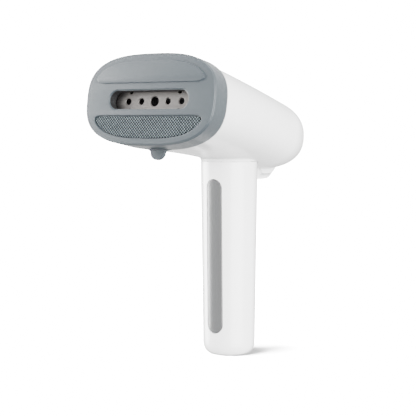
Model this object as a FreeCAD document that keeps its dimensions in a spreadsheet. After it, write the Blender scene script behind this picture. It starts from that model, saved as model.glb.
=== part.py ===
"""Handheld garment steamer: a tilted steam head on an upright handle that is its water tank.

Model frame, in millimetres: the origin is the centre of the handle's foot, +Z is up, and the
steam face looks towards -Y.  Head frame: the origin is the centre of the steam face, x is the
model's X, y runs rearwards from the face and z is up the face.  A node built in the head frame
is put in place by its Placement.
"""
import FreeCAD, Part, Sketcher
import math
import os
import re
from FreeCAD import Placement, Rotation, Vector

# ---------------------------------------------------------------- driving dimensions
SIZES = {
    "head placement": {
        "face_y": -92.0, "face_z": 175.5, "head_tilt": 9.0},
    "body shell": {
        "shell_wall": 2.2, "shell_front": 17.3, "shell_rear": 121.0, "tail_length": 41.5,
        "front_half_width": 48.3, "front_top": 28.8, "front_depth": 30.2,
        "middle_half_width": 43.2, "middle_top": 25.4, "middle_depth": 27.0,
        "rear_half_width": 38.8, "rear_top": 20.7, "rear_depth": 29.0,
        "upper_power": 2.6, "lower_power": 2.2,
        "neck_seam": 134.0, "neck_radius": 19.7, "neck_bore": 17.3, "neck_top": 145.0,
        "pocket_radius": 20.1, "pocket_wall_radius": 22.6},
    "mouthpiece cover": {
        "cover_length": 17.0, "cover_wall": 2.0, "face_thickness": 2.6,
        "crease_half_width": 50.6, "crease_half_height": 29.3, "crease_power": 2.85,
        "cover_rear_half_width": 48.7, "cover_rear_half_height": 30.0, "cover_rear_power": 2.65,
        "edge_round": 1.2, "slot_half_length": 30.9, "slot_half_height": 6.0, "slot_drop": 0.35,
        "slot_depth": 6.5, "slot_wall": 1.6,
        "panel_low": 10.4, "panel_half_width": 45.2, "panel_top": 24.4, "panel_height": 0.9,
        "pad_high": 10.4, "pad_half_width": 44.6, "pad_bottom": 25.1, "pad_corner": 3.0,
        "segment_power": 2.95,
        "pad_recess": 1.4, "pad_thickness": 1.1, "pad_gap": 0.25,
        "tab_half_width": 6.5, "tab_tip": 36.7, "tab_thickness": 2.4, "tab_root": 27.0},
    "steam plate": {
        "plate_depth": 7.1, "plate_thickness": 0.7, "plate_half_length": 37.0,
        "plate_half_height": 11.0, "hole_pitch": 10.5, "hole_radius": 2.05,
        "centre_hole_radius": 3.2, "small_hole_radius": 1.3, "small_hole_x": 19.2,
        "small_hole_rise": 6.2},
    "front frame": {
        "frame_gap": 0.25, "plug_front": 11.0, "frame_front": 17.5, "frame_back": 20.5,
        "plug_wall": 1.6},
    "nozzle block": {
        "nozzle_half_length": 35.0, "nozzle_half_height": 9.0, "nozzle_wall": 2.0},
    "boiler": {
        "boiler_half_width": 24.0, "boiler_front": 34.0, "boiler_back": 70.0,
        "boiler_low": -15.0, "boiler_high": 8.0, "boiler_floor": 7.0, "boiler_wall": 3.0,
        "gasket_thickness": 1.0, "lid_thickness": 2.5, "outlet_radius": 4.0,
        "outlet_bore": 2.5, "port_radius": 2.5, "port_bore": 1.5, "port_length": 5.0,
        "port_height": 4.0, "heater_radius": 2.6, "heater_bend": 15.0, "heater_tail": 75.0,
        "thermostat_radius": 8.0, "thermostat_height": 5.5, "thermostat_y": 44.0,
        "fuse_radius": 2.0, "fuse_half_length": 7.0, "fuse_y": 60.0,
        "shield_gap": 1.2, "shield_thickness": 0.6, "shield_high": 6.0},
    "chassis": {
        "rail_inside": 27.0, "rail_outside": 29.5, "rail_top": -6.0, "saddle_low": -18.2,
        "chassis_back": 118.0, "rail_step": 66.0, "saddle_front": 40.0, "saddle_back": 64.0,
        "deck_front": 76.0, "deck_low": -12.0, "deck_high": -10.5, "bulkhead_half_width": 36.0,
        "bulkhead_high": 14.0, "bulkhead_thickness": 2.0, "cradle_half_width": 11.5,
        "cradle_thickness": 3.0, "cradle_high": -1.0, "front_cradle": 82.0,
        "rear_cradle": 103.8},
    "pump": {
        "pump_height": 4.0, "pump_radius": 7.0, "pump_front": 80.0, "pump_back": 117.0,
        "nipple_radius": 2.5, "nipple_length": 4.5, "coil_half_width": 10.0, "coil_front": 87.0,
        "coil_back": 103.5, "mount_radius": 9.5, "hose_radius": 3.6, "suction_radius": 2.4,
        "suction_bore": 1.5, "suction_bend": 3.4, "suction_lane": -5.6, "suction_y": 109.5,
        "suction_reach": 6.0},
    "control board": {
        "board_x": 20.0, "board_thickness": 1.6, "board_front": 86.0, "board_back": 108.0,
        "board_high": 12.0},
    "power button": {
        "button_y": 100.0, "button_slope": 4.6, "button_radius": 7.6, "button_proud": 0.1,
        "button_height": 3.6, "button_top": 22.3, "ring_inside": 7.8, "ring_outside": 9.2,
        "ring_proud": 0.1,
        "ring_height": 3.4, "stem_radius": 1.6, "stem_length": 2.4, "switch_half": 5.0,
        "switch_height": 3.0, "button_travel": 1.2},
    "trigger": {
        "hinge_y": 55.5, "hinge_z": 136.5, "trigger_half_width": 7.4, "slot_half_width": 7.8,
        "trigger_reach": 31.0, "trigger_low": 120.3, "pin_radius": 1.5, "pin_clearance": 0.05,
        "barrel_radius": 2.9, "trigger_edge": 1.6, "web_drop": 2.5,
        "nose_rise": 1.5, "nose_back": 2.4, "front_rise": 4.5, "sole_lead": 6.5,
        "sole_tail": 11.0, "sole_rise": 0.6, "waist_tail": 3.6, "waist_rise": 6.4,
        "heel_back": 1.8, "heel_rise": 9.8, "paddle_wall": 1.8, "paddle_floor": 5.2,
        "seat_floor": 2.5, "hollow_front": 3.0, "hollow_tail": 8.0, "pin_half_length": 9.8, "ear_inside": 7.8,
        "ear_outside": 9.8, "ear_low": 134.4, "seat_low": 145.0, "seat_high": 147.0,
        "bracket_front": 28.0, "bracket_back": 58.5, "ear_front": 51.0,
        "spring_y": 33.0, "spring_radius": 2.8, "spring_wire": 0.35, "spring_turns": 6.0,
        "switch_y": 45.0, "switch_half_length": 5.0, "switch_half_width": 3.0,
        "switch_low": 139.2, "plunger_radius": 1.2, "plunger_well": 1.8, "slot_front": 24.6,
        "slot_back": 58.4},
    "cord gland": {
        "gland_radius": 5.4, "gland_bore": 3.3, "gland_flange": 6.8, "gland_inside": 155.5,
        "gland_flange_thickness": 2.0, "gland_tip": 174.0, "gland_tip_radius": 4.2,
        "rib_start": 3.0, "rib_pitch": 3.0, "rib_groove": 1.1, "clamp_half_width": 8.0,
        "clamp_front": 140.0, "clamp_back": 145.0, "clamp_bore": 3.4, "clamp_height": -0.4,
        "clamp_half_height": 4.2, "clamp_screw_inset": 2.4},
    "water tank": {
        "grip_base_radius": 18.0, "grip_top_radius": 19.7, "grip_low": 0.5, "grip_high": 133.7,
        "grip_round": 4.5, "sleeve_wall": 1.6, "window_half_width": 6.3, "window_low": 15.8,
        "window_high": 122.4, "window_gap": 0.2, "liner_gap": 0.1, "liner_wall": 1.4,
        "liner_low": 3.2, "liner_high": 128.0, "foot_opening": 13.0, "base_cap_low": 0.6,
        "foot_radius": 11.5, "foot_high": 1.2, "cap_radius": 17.6, "cap_low": 129.0,
        "skirt_radius": 15.9, "skirt_bore": 14.2, "skirt_low": 119.0, "spigot_radius": 4.6,
        "spigot_top": 141.5, "seal_gap": 0.1, "seal_bore": 16.3, "tube_radius": 2.0,
        "tube_bore": 1.2, "tube_low": 9.0, "filter_radius": 5.0, "filter_low": 6.0,
        "filter_high": 14.0, "air_valve_x": 9.0, "air_valve_radius": 2.5,
        "air_valve_low": 124.0},
    "neck socket": {
        "socket_low": 136.2, "socket_high": 144.6, "socket_radius": 8.2, "socket_bore": 5.1,
        "flange_low": 141.6, "groove_radius": 6.8, "groove_low": 138.0, "groove_high": 140.2,
        "seal_ring_radius": 5.75, "seal_ring_wire": 1.0, "barb_y": 14.4, "barb_radius": 2.4,
        "barb_top": 147.5, "barb_bore": 1.2},
    "screws": {
        "screw_radius": 1.25, "screw_head_radius": 2.2, "screw_head_height": 1.3,
        "screw_length": 8.0, "frame_screw_x": 33.0, "frame_screw_high": 12.0,
        "frame_screw_low": 14.0, "lid_screw_inset": 1.6},
}

doc = FreeCAD.newDocument("handheld_steamer")
sheet = doc.addObject("Spreadsheet::Sheet", "Sizes")
ALIASES = []
row = 1
for section, cells in SIZES.items():
    sheet.set(f"A{row}", section)
    for alias, value in cells.items():
        row += 1
        sheet.set(f"A{row}", alias)
        sheet.set(f"B{row}", str(value))
        sheet.setAlias(f"B{row}", alias)
        ALIASES.append(alias)
    row += 2
doc.recompute()


def size(alias):
    """A driving dimension, read from the sheet."""
    return float(sheet.get(alias))


ALIAS_WORD = re.compile(r"\b(" + "|".join(sorted(ALIASES, key=len, reverse=True)) + r")\b")


def formula(text):
    """An expression over the sheet's aliases, such as "pump_back - 2"."""
    return ALIAS_WORD.sub(r"Sizes.\1", str(text))


# ---------------------------------------------------------------- frames
HEAD = Placement(Vector(0, size("face_y"), size("face_z")),
                 Rotation(Vector(1, 0, 0), -size("head_tilt")))
TO_HEAD = HEAD.inverse()
NODES = []


def place_in_head(part):
    """Moves a part built in the head frame to its place, bound to the sheet."""
    part.Placement = HEAD
    part.setExpression("Placement.Base.y", formula("face_y"))
    part.setExpression("Placement.Base.z", formula("face_z"))
    part.setExpression("Placement.Rotation.Angle", formula("-head_tilt"))


def keep(part, label, head=True):
    """Names a finished sub-part and lists it for export."""
    part.Label = label
    if head:
        place_in_head(part)
    NODES.append(part)
    return part


def add_feature(label, shape, placement=None):
    """A sub-part whose shape is made with Part's own functions."""
    part = doc.addObject("Part::Feature", label)
    part.Label = label
    part.Shape = shape
    if placement:
        part.Placement = placement.multiply(shape.Placement)
    NODES.append(part)
    return part


# ---------------------------------------------------------------- bound primitives
AXIS_ROTATIONS = {
    "x": Rotation(Vector(0, 1, 0), 90),
    "y": Rotation(Vector(1, 0, 0), -90),
    "z": Rotation(),
}


def bind(part, **expressions):
    """Binds properties to sheet expressions; a double underscore stands for a dot."""
    for name, text in expressions.items():
        part.setExpression(name.replace("__", "."), formula(text))
    return part


def block(x_range, y_range, z_range):
    """A box between three pairs of sheet expressions."""
    part = doc.addObject("Part::Box", "block")
    return bind(
        part,
        Length=f"({x_range[1]}) - ({x_range[0]})",
        Width=f"({y_range[1]}) - ({y_range[0]})",
        Height=f"({z_range[1]}) - ({z_range[0]})",
        Placement__Base__x=x_range[0],
        Placement__Base__y=y_range[0],
        Placement__Base__z=z_range[0],
    )


def rod(radius, start, length, axis="z"):
    """A cylinder from its start point along +x, +y or +z."""
    part = doc.addObject("Part::Cylinder", "rod")
    part.Placement = Placement(Vector(), AXIS_ROTATIONS[axis])
    return bind(
        part, Radius=radius, Height=length,
        Placement__Base__x=start[0], Placement__Base__y=start[1], Placement__Base__z=start[2])


def taper(base_radius, top_radius, start, length, axis="z"):
    """A cone frustum from its start point along +x, +y or +z."""
    part = doc.addObject("Part::Cone", "taper")
    part.Placement = Placement(Vector(), AXIS_ROTATIONS[axis])
    return bind(
        part, Radius1=base_radius, Radius2=top_radius, Height=length,
        Placement__Base__x=start[0], Placement__Base__y=start[1], Placement__Base__z=start[2])


def ring_wire(radius, wire, centre, axis="z"):
    """A torus round the given axis."""
    part = doc.addObject("Part::Torus", "ring")
    part.Placement = Placement(Vector(), AXIS_ROTATIONS[axis])
    return bind(
        part, Radius1=radius, Radius2=wire,
        Placement__Base__x=centre[0], Placement__Base__y=centre[1], Placement__Base__z=centre[2])


def stadium(half_length, half_height, y_range, height="0"):
    """A flat-sided bar along y with round ends: the outline of a slot."""
    reach = f"({half_length}) - ({half_height})"
    depth = f"({y_range[1]}) - ({y_range[0]})"
    middle = block((f"-({reach})", reach), y_range,
                   (f"({height}) - ({half_height})", f"({height}) + ({half_height})"))
    ends = [rod(half_height, (f"{sign}({reach})", y_range[0], height), depth, "y")
            for sign in ("-", "")]
    return join([middle] + ends)


def join(parts):
    """Several solids as one."""
    if len(parts) == 1:
        return parts[0]
    fused = doc.addObject("Part::MultiFuse", "join")
    fused.Shapes = parts
    fused.Refine = True
    return fused


def apart(parts):
    """Several separate solids in one object."""
    group = doc.addObject("Part::Compound", "group")
    group.Links = parts
    return group


def remove(part, tools):
    """The part with the tools cut out of it."""
    cut = doc.addObject("Part::Cut", "cut")
    cut.Base = part
    cut.Tool = join(tools)
    cut.Refine = True
    return cut


def screws(places, axis="z", tip="0", head="screw_length"):
    """Pan-head screws along an axis: a shank from tip to head, and its head."""
    made = []
    for place in places:
        along = {"x": 0, "y": 1, "z": 2}[axis]
        shank_start = list(place)
        shank_start[along] = tip
        head_start = list(place)
        head_start[along] = head
        shank = rod("screw_radius", shank_start, f"({head}) - ({tip})", axis)
        cap = rod("screw_head_radius", head_start, "screw_head_height", axis)
        made.append(join([shank, cap]))
    return made


# ---------------------------------------------------------------- PartDesign helpers
def new_body(label):
    return doc.addObject("PartDesign::Body", label)


def origin_plane(body, role):
    for feature in body.Origin.OriginFeatures:
        if feature.Role == role:
            return feature
    raise ValueError(role)


def polygon_sketch(body, role, corners):
    """A closed outline on an origin plane, each corner held by two sheet expressions."""
    sketch = body.newObject("Sketcher::SketchObject", "outline")
    sketch.AttachmentSupport = [(origin_plane(body, role), "")]
    sketch.MapMode = "FlatFace"
    texts = [(formula(x), formula(y)) for x, y in corners]
    points = [Vector(float(sketch.evalExpression(x)), float(sketch.evalExpression(y)), 0)
              for x, y in texts]
    count = len(points)
    for index in range(count):
        sketch.addGeometry(Part.LineSegment(points[index], points[(index + 1) % count]), False)
    for index in range(count):
        follower = (index + 1) % count
        sketch.addConstraint(Sketcher.Constraint("Coincident", index, 2, follower, 1))
    for index, (x, y) in enumerate(texts):
        for kind, text, value in (("DistanceX", x, points[index].x),
                                  ("DistanceY", y, points[index].y)):
            number = sketch.addConstraint(Sketcher.Constraint(kind, -1, 1, index, 1, value))
            sketch.setExpression(f"Constraints[{number}]", text)
    return sketch


def turned(label, corners):
    """A body turned round the Z axis from an outline of (radius, height) corners."""
    body = new_body(label)
    sketch = polygon_sketch(body, "XZ_Plane", corners)
    turn = body.newObject("PartDesign::Revolution", "turn")
    turn.Profile = sketch
    turn.ReferenceAxis = (sketch, ["V_Axis"])
    turn.Angle = 360
    body.Tip = turn
    return body


# ---------------------------------------------------------------- rounded outlines
OUTLINE_POINTS = 48


def rounded_outline(half_width, top, depth, upper_power, lower_power, y):
    """A closed superellipse at a distance y, from -depth to top; its widest line is midway."""
    centre = (top - depth) / 2
    half_height = (top + depth) / 2
    points = []
    for step in range(OUTLINE_POINTS):
        angle = 2 * math.pi * step / OUTLINE_POINTS
        across = math.cos(angle)
        up = math.sin(angle)
        power = upper_power if up >= 0 else lower_power
        x = half_width * math.copysign(abs(across) ** (2 / power), across)
        z = centre + half_height * math.copysign(abs(up) ** (2 / power), up)
        points.append(Vector(x, y, z))
    curve = Part.BSplineCurve()
    curve.interpolate(Points=points, PeriodicFlag=True)
    return Part.Wire([curve.toShape()])


def quadratic(front, middle, rear, share):
    """A value through front, middle and rear at shares 0, 0.5 and 1."""
    return (front * (1 - share) * (1 - 2 * share) + middle * 4 * share * (1 - share)
            + rear * share * (2 * share - 1))


def head_section(y, inset=0.0):
    """The shell's section at y: half width, top and depth, moved in by the inset."""
    front = size("shell_front")
    rear = size("shell_rear")
    tail = size("tail_length") - inset
    share = min((y - front) / (rear - front), 1.0)
    values = [quadratic(size("front_" + name), size("middle_" + name), size("rear_" + name), share)
              for name in ("half_width", "top", "depth")]
    beyond = max(y - rear, 0.0)
    if beyond > 0:
        step = 1e-3
        for index, name in enumerate(("half_width", "top", "depth")):
            near = quadratic(size("front_" + name), size("middle_" + name),
                             size("rear_" + name), 1 - step)
            values[index] += (values[index] - near) / (step * (rear - front)) * beyond
    half_width, top, depth = (value - inset for value in values)
    shrink = math.sqrt(max(1 - (beyond / tail) ** 2, 0.0))
    centre = (top - depth) / 2
    half_height = (top + depth) / 2 * shrink
    return half_width * shrink, centre + half_height, half_height - centre


def head_loft(inset, front, tail_share):
    """The solid inside the shell's surface, from front to a share of the tail."""
    rear = size("shell_rear")
    tail = size("tail_length") - inset
    stations = [front + (rear - front) * step / 7 for step in range(8)]
    last_angle = math.asin(tail_share)
    stations += [rear + tail * math.sin(last_angle * step / 9) for step in range(1, 10)]
    wires = []
    for y in stations:
        half_width, top, depth = head_section(y, inset)
        wires.append(rounded_outline(half_width, top, depth, size("upper_power"),
                                     size("lower_power"), y))
    return Part.makeLoft(wires, True, False)


def upright(radius, low, high, x=0.0, y=0.0):
    """A vertical cylinder of the model frame, given in the head frame."""
    cylinder = Part.makeCylinder(radius, high - low, Vector(x, y, low))
    cylinder.transformShape(TO_HEAD.toMatrix())
    return cylinder


def upright_box(x_range, y_range, z_range):
    """A level box of the model frame, given in the head frame."""
    box = Part.makeBox(x_range[1] - x_range[0], y_range[1] - y_range[0],
                       z_range[1] - z_range[0], Vector(x_range[0], y_range[0], z_range[0]))
    box.transformShape(TO_HEAD.toMatrix())
    return box


def bar_y(radius, y_low, y_high, x=0.0, z=0.0):
    return Part.makeCylinder(radius, y_high - y_low, Vector(x, y_low, z), Vector(0, 1, 0))


def slot_bar(half_length, half_height, y_low, y_high, z=0.0):
    """A solid bar along y with a stadium outline."""
    reach = half_length - half_height
    depth = y_high - y_low
    middle = Part.makeBox(2 * reach, depth, 2 * half_height, Vector(-reach, y_low, z - half_height))
    ends = [bar_y(half_height, y_low, y_high, x, z) for x in (-reach, reach)]
    return middle.fuse(ends).removeSplitter()


# ---------------------------------------------------------------- body shell
def tail_centre():
    """Height of the tail's tip in the head frame."""
    half_width, top, depth = head_section(size("shell_rear") + size("tail_length") * 0.99)
    return (top - depth) / 2


def button_placement():
    """The power button's axis, square to the top of the shell, in the head frame."""
    return Placement(Vector(0, size("button_y"), size("button_top")),
                     Rotation(Vector(1, 0, 0), -size("button_slope")))


def body_shell():
    wall = size("shell_wall")
    front = size("shell_front")
    outer = head_loft(0.0, front, 0.985)
    inner = head_loft(wall, front, 0.985)
    mouth_half_width, mouth_top, mouth_depth = head_section(front, wall)
    mouth = Part.Face(rounded_outline(mouth_half_width, mouth_top, mouth_depth,
                                      size("upper_power"), size("lower_power"), front - 1))
    cavity = inner.fuse(mouth.extrude(Vector(0, 1.01, 0)))
    collar = upright(size("pocket_wall_radius"), 120, size("neck_top")).common(outer)
    stub = upright(size("neck_radius"), size("neck_seam"), size("neck_top"))
    shell = outer.cut(cavity).fuse([collar, stub])
    shell = shell.cut(upright(size("pocket_radius"), 110, size("neck_seam")))
    shell = shell.cut(upright(size("neck_bore"), 110, size("neck_top") + 1))
    half_slot = size("slot_half_width")
    shell = shell.cut(upright_box((-half_slot, half_slot),
                                  (size("slot_front"), size("slot_back")), (115, 137)))
    button_hole = Part.makeCylinder(size("ring_outside"), 12, Vector(0, 0, -8))
    button_hole.transformShape(button_placement().toMatrix())
    shell = shell.cut(button_hole)
    shell = shell.cut(bar_y(size("gland_radius"), 150, 175, z=tail_centre()))
    shell = max(shell.Solids, key=lambda solid: solid.Volume)
    add_feature("body_shell", shell, HEAD)


# ---------------------------------------------------------------- mouthpiece cover
def cover_outline(y, inset):
    share = y / size("cover_length")
    half_width = (size("crease_half_width") * (1 - share)
                  + size("cover_rear_half_width") * share - inset)
    half_height = (size("crease_half_height") * (1 - share)
                   + size("cover_rear_half_height") * share - inset)
    power = size("crease_power") * (1 - share) + size("cover_rear_power") * share
    return rounded_outline(half_width, half_height, half_height, power, power, y)


def face_segment(half_width, half_height, cut_height, corner, y_low, y_high):
    """A prism between a straight line across the face and an arc that follows the rim."""
    power = size("segment_power")
    outline = rounded_outline(half_width, half_height, half_height, power, power, y_low)
    prism = Part.Face(outline).extrude(Vector(0, y_high - y_low, 0))
    keep_box = Part.makeBox(200, 50, 100, Vector(-100, -20, cut_height))
    segment = prism.common(keep_box)
    corners = []
    for edge in segment.Edges:
        ends = [vertex.Point for vertex in edge.Vertexes]
        along_y = len(ends) == 2 and abs(ends[0].x - ends[1].x) < 1e-3
        along_y = along_y and abs(ends[0].z - ends[1].z) < 1e-3
        if along_y and abs(ends[0].z - cut_height) < 1e-3:
            corners.append(edge)
    return segment.makeFillet(corner, corners)


def lower_half(shape):
    """The shape turned upside down about the face's centre."""
    turned_shape = shape.copy()
    turned_shape.rotate(Vector(), Vector(0, 1, 0), 180)
    return turned_shape


def mouthpiece_cover():
    length = size("cover_length")
    edge = size("edge_round")
    slot_z = -size("slot_drop")
    outer = Part.makeLoft([cover_outline(0, edge), cover_outline(edge * 0.3, edge * 0.3),
                           cover_outline(edge, 0)], True, False)
    outer = outer.fuse(Part.makeLoft([cover_outline(edge, 0), cover_outline(length, 0)], True, True))
    wall = size("cover_wall")
    inner = Part.makeLoft([cover_outline(size("face_thickness"), wall),
                           cover_outline(length, wall)], True, True)
    back = Part.Face(cover_outline(length, wall)).extrude(Vector(0, 2, 0))
    tab_width = size("tab_half_width")
    tab_front = length - size("tab_thickness")
    tab_centre = size("tab_tip") - tab_width
    tab = Part.makeBox(2 * tab_width, size("tab_thickness"), tab_centre - size("tab_root"),
                       Vector(-tab_width, tab_front, -tab_centre))
    tip = bar_y(tab_width, tab_front, length, z=-tab_centre)
    cover = outer.fuse([tab, tip]).cut(inner).cut(back)
    collar = slot_bar(size("slot_half_length") + size("slot_wall"),
                      size("slot_half_height") + size("slot_wall"), 1.0, size("slot_depth"), slot_z)
    panel = face_segment(size("panel_half_width"), size("panel_top"), size("panel_low"),
                         size("pad_corner"), -size("panel_height"), 0.5)
    cover = cover.fuse([collar, panel])
    cover = cover.cut(slot_bar(size("slot_half_length"), size("slot_half_height"), -2,
                               size("slot_depth") + 1, slot_z))
    recess = lower_half(face_segment(size("pad_half_width"), size("pad_bottom"),
                                     size("pad_high"), size("pad_corner"),
                                     -1, size("pad_recess")))
    add_feature("mouthpiece_cover", cover.cut(recess).removeSplitter(), HEAD)


def fabric_pad():
    gap = size("pad_gap")
    back = size("pad_recess")
    pad = lower_half(face_segment(size("pad_half_width") - gap, size("pad_bottom") - gap,
                                  size("pad_high") + gap, size("pad_corner") - gap,
                                  back - size("pad_thickness"), back))
    add_feature("fabric_pad", pad, HEAD)


# ---------------------------------------------------------------- steam outlet
def steam_plate():
    wall = "plate_thickness"
    front = "plate_depth"
    cup = stadium("plate_half_length", "plate_half_height", (front, "frame_front"), "-slot_drop")
    hollow = stadium(f"plate_half_length - {wall}", f"plate_half_height - {wall}",
                     (f"{front} + {wall}", "frame_front + 1"), "-slot_drop")
    holes = [hollow]
    for step in (-2, -1, 0, 1, 2):
        radius = "centre_hole_radius" if step == 0 else "hole_radius"
        holes.append(rod(radius, (f"{step} * hole_pitch", f"{front} - 1", "-slot_drop"), 4, "y"))
    for x_sign in ("-", ""):
        for z_sign in ("-", "+"):
            holes.append(rod("small_hole_radius",
                             (f"{x_sign}small_hole_x", f"{front} - 1",
                              f"-slot_drop {z_sign} small_hole_rise"), 4, "y"))
    keep(remove(cup, holes), "steam_plate")


def nozzle_block():
    wall = "nozzle_wall"
    front = "plate_depth + plate_thickness"
    block_body = stadium("nozzle_half_length", "nozzle_half_height", (front, "frame_back"),
                         "-slot_drop")
    chamber = stadium(f"nozzle_half_length - {wall}", f"nozzle_half_height - {wall}",
                      (f"{front} - 1", f"frame_back - {wall}"), "-slot_drop")
    inlet = rod("outlet_radius", ("0", f"frame_back - {wall} - 1", "-slot_drop"), 5, "y")
    keep(remove(block_body, [chamber, inlet]), "nozzle_block")


def front_frame():
    """Ring that closes the shell's mouth and that the cover plugs over."""
    back = size("frame_back")
    start = size("plug_front")
    half_width, top, depth = head_section(back, size("shell_wall") + size("frame_gap"))

    def prism(inset, y_low, y_high):
        outline = rounded_outline(half_width - inset, top - inset, depth - inset,
                                  size("upper_power"), size("lower_power"), y_low)
        return Part.Face(outline).extrude(Vector(0, y_high - y_low, 0))

    frame = prism(0, start, back).cut(prism(size("plug_wall"), start - 1, size("frame_front")))
    frame = frame.cut(slot_bar(size("nozzle_half_length"), size("nozzle_half_height"),
                               start, back + 1, -size("slot_drop")))
    for x in (-size("frame_screw_x"), size("frame_screw_x")):
        for z in (size("frame_screw_high"), -size("frame_screw_low")):
            frame = frame.cut(bar_y(size("screw_radius"), start, back + 1, x, z))
    add_feature("front_frame", frame, HEAD)


def frame_screw_places():
    """Sheet expressions of the four screws' x and z."""
    return [(f"{sign}frame_screw_x", z) for sign in ("-", "")
            for z in ("frame_screw_high", "-frame_screw_low")]


def frame_screws():
    heads = []
    for x, z in frame_screw_places():
        shank = rod("screw_radius", (x, "frame_front", z), "frame_back - frame_front + 2", "y")
        cap = rod("screw_head_radius", (x, "frame_front - screw_head_height", z),
                  "screw_head_height", "y")
        heads.append(join([shank, cap]))
    keep(apart(heads), "frame_screws")


# ---------------------------------------------------------------- boiler
def heater_parts():
    height = "boiler_low + boiler_floor / 2"
    bend_y = "boiler_front + heater_bend + heater_radius + 2"
    legs = [rod("heater_radius", (f"{sign}heater_bend", bend_y, height),
                f"heater_tail - ({bend_y})", "y") for sign in ("-", "")]
    bend = doc.addObject("Part::Torus", "bend")
    bend.Placement = Placement(Vector(), Rotation(Vector(0, 0, 1), 180))
    bind(bend, Radius1="heater_bend", Radius2="heater_radius", Angle3="180",
         Placement__Base__y=bend_y, Placement__Base__z=height)
    return legs + [bend]


def lid_screw_places():
    side = "(boiler_half_width - lid_screw_inset)"
    return [(f"{sign}{side}", y, "0") for sign in ("-", "")
            for y in ("boiler_front + lid_screw_inset", "boiler_back - lid_screw_inset")]


def lid_screw_solids():
    return screws(lid_screw_places(), "z", "boiler_high - 5",
                  "boiler_high + gasket_thickness + lid_thickness")


def boiler_footprint(low, high, inset="0"):
    return block((f"-boiler_half_width + {inset}", f"boiler_half_width - {inset}"),
                 (f"boiler_front + {inset}", f"boiler_back - {inset}"), (low, high))


def boiler():
    low = "boiler_low"
    high = "boiler_high"
    casting = boiler_footprint(low, high)
    outlet = rod("outlet_radius", ("0", "frame_back - nozzle_wall", "-slot_drop"),
                 "boiler_front - frame_back + nozzle_wall + 1", "y")
    port = rod("port_radius", ("0", "boiler_back - 1", "port_height"), "port_length + 1", "y")
    chamber = boiler_footprint(f"{low} + boiler_floor", f"{high} + 1", "boiler_wall")
    outlet_bore = rod("outlet_bore", ("0", "frame_back - nozzle_wall - 1", "-slot_drop"),
                      "boiler_front - frame_back + nozzle_wall + 6", "y")
    port_bore = rod("port_bore", ("0", "boiler_back - 5", "port_height"), "port_length + 6", "y")
    body = remove(join([casting, outlet, port]),
                  [chamber, outlet_bore, port_bore] + heater_parts() + lid_screw_solids())
    keep(body, "boiler_body")
    keep(join(heater_parts()), "heater_element")
    gasket_top = f"{high} + gasket_thickness"
    gasket = remove(boiler_footprint(high, gasket_top),
                    [boiler_footprint(f"{high} - 1", f"{gasket_top} + 1", "boiler_wall")]
                    + lid_screw_solids())
    keep(gasket, "boiler_gasket")
    lid_top = f"{gasket_top} + lid_thickness"
    keep(remove(boiler_footprint(gasket_top, lid_top), lid_screw_solids()), "boiler_lid")
    keep(apart(lid_screw_solids()), "boiler_screws")
    disc = rod("thermostat_radius", ("0", "thermostat_y", lid_top), "thermostat_height")
    blades = [block((x, f"{x} + 0.8"), ("thermostat_y - 2", "thermostat_y + 2"),
                    (f"{lid_top} + thermostat_height - 0.5", f"{lid_top} + thermostat_height + 3"))
              for x in ("-4", "3.2")]
    keep(join([disc] + blades), "thermostat")
    fuse = rod("fuse_radius", ("-fuse_half_length", "fuse_y", f"{lid_top} + fuse_radius"),
               "2 * fuse_half_length", "x")
    keep(apart([fuse]), "thermal_fuse")
    wall = "shield_thickness"
    side = "boiler_half_width + shield_gap"
    shield = [block((f"-({side}) - {wall}", f"{side} + {wall}"), ("boiler_front", "boiler_back"),
                    (f"{low} - {wall}", low))]
    shield += [block(x_range, ("boiler_front", "boiler_back"), (f"{low} - {wall}", "shield_high"))
               for x_range in ((f"-({side}) - {wall}", f"-({side})"), (side, f"{side} + {wall}"))]
    keep(join(shield), "heat_shield")


# ---------------------------------------------------------------- chassis, pump and electronics
def pump_axis_rod(radius, y_low, y_high):
    return rod(radius, ("0", y_low, "pump_height"), f"({y_high}) - ({y_low})", "y")


def chassis():
    low = "saddle_low"
    outside = "rail_outside"
    bulkhead_back = "frame_back + bulkhead_thickness"
    solids = [block(("-bulkhead_half_width", "bulkhead_half_width"), ("frame_back", bulkhead_back),
                    (low, "bulkhead_high"))]
    for x_range in ((f"-{outside}", "-rail_inside"), ("rail_inside", outside)):
        solids.append(block(x_range, ("frame_back", "rail_step"), (low, "rail_top")))
        solids.append(block(x_range, ("rail_step - 1", "chassis_back"), ("deck_low", "rail_top")))
    solids.append(block((f"-{outside}", outside), ("saddle_front", "saddle_back"),
                        (low, "boiler_low - shield_thickness")))
    solids.append(block((f"-{outside}", outside), ("deck_front", "chassis_back"),
                        ("deck_low", "deck_high")))
    for cradle in ("front_cradle", "rear_cradle"):
        solids.append(block(("-cradle_half_width", "cradle_half_width"),
                            (cradle, f"{cradle} + cradle_thickness"), ("deck_low", "cradle_high")))
    holes = [rod("outlet_radius", ("0", "frame_back - 1", "-slot_drop"), 6, "y")]
    holes.append(pump_axis_rod("mount_radius", "front_cradle - 1",
                               "rear_cradle + cradle_thickness + 1"))
    holes.append(rod("suction_radius + 1", ("0", "suction_y", "deck_low - 1"), 4))
    holes += [rod("screw_radius", (x, "frame_back - 1", z), 5, "y")
              for x, z in frame_screw_places()]
    keep(remove(join(solids), holes), "chassis")


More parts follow.
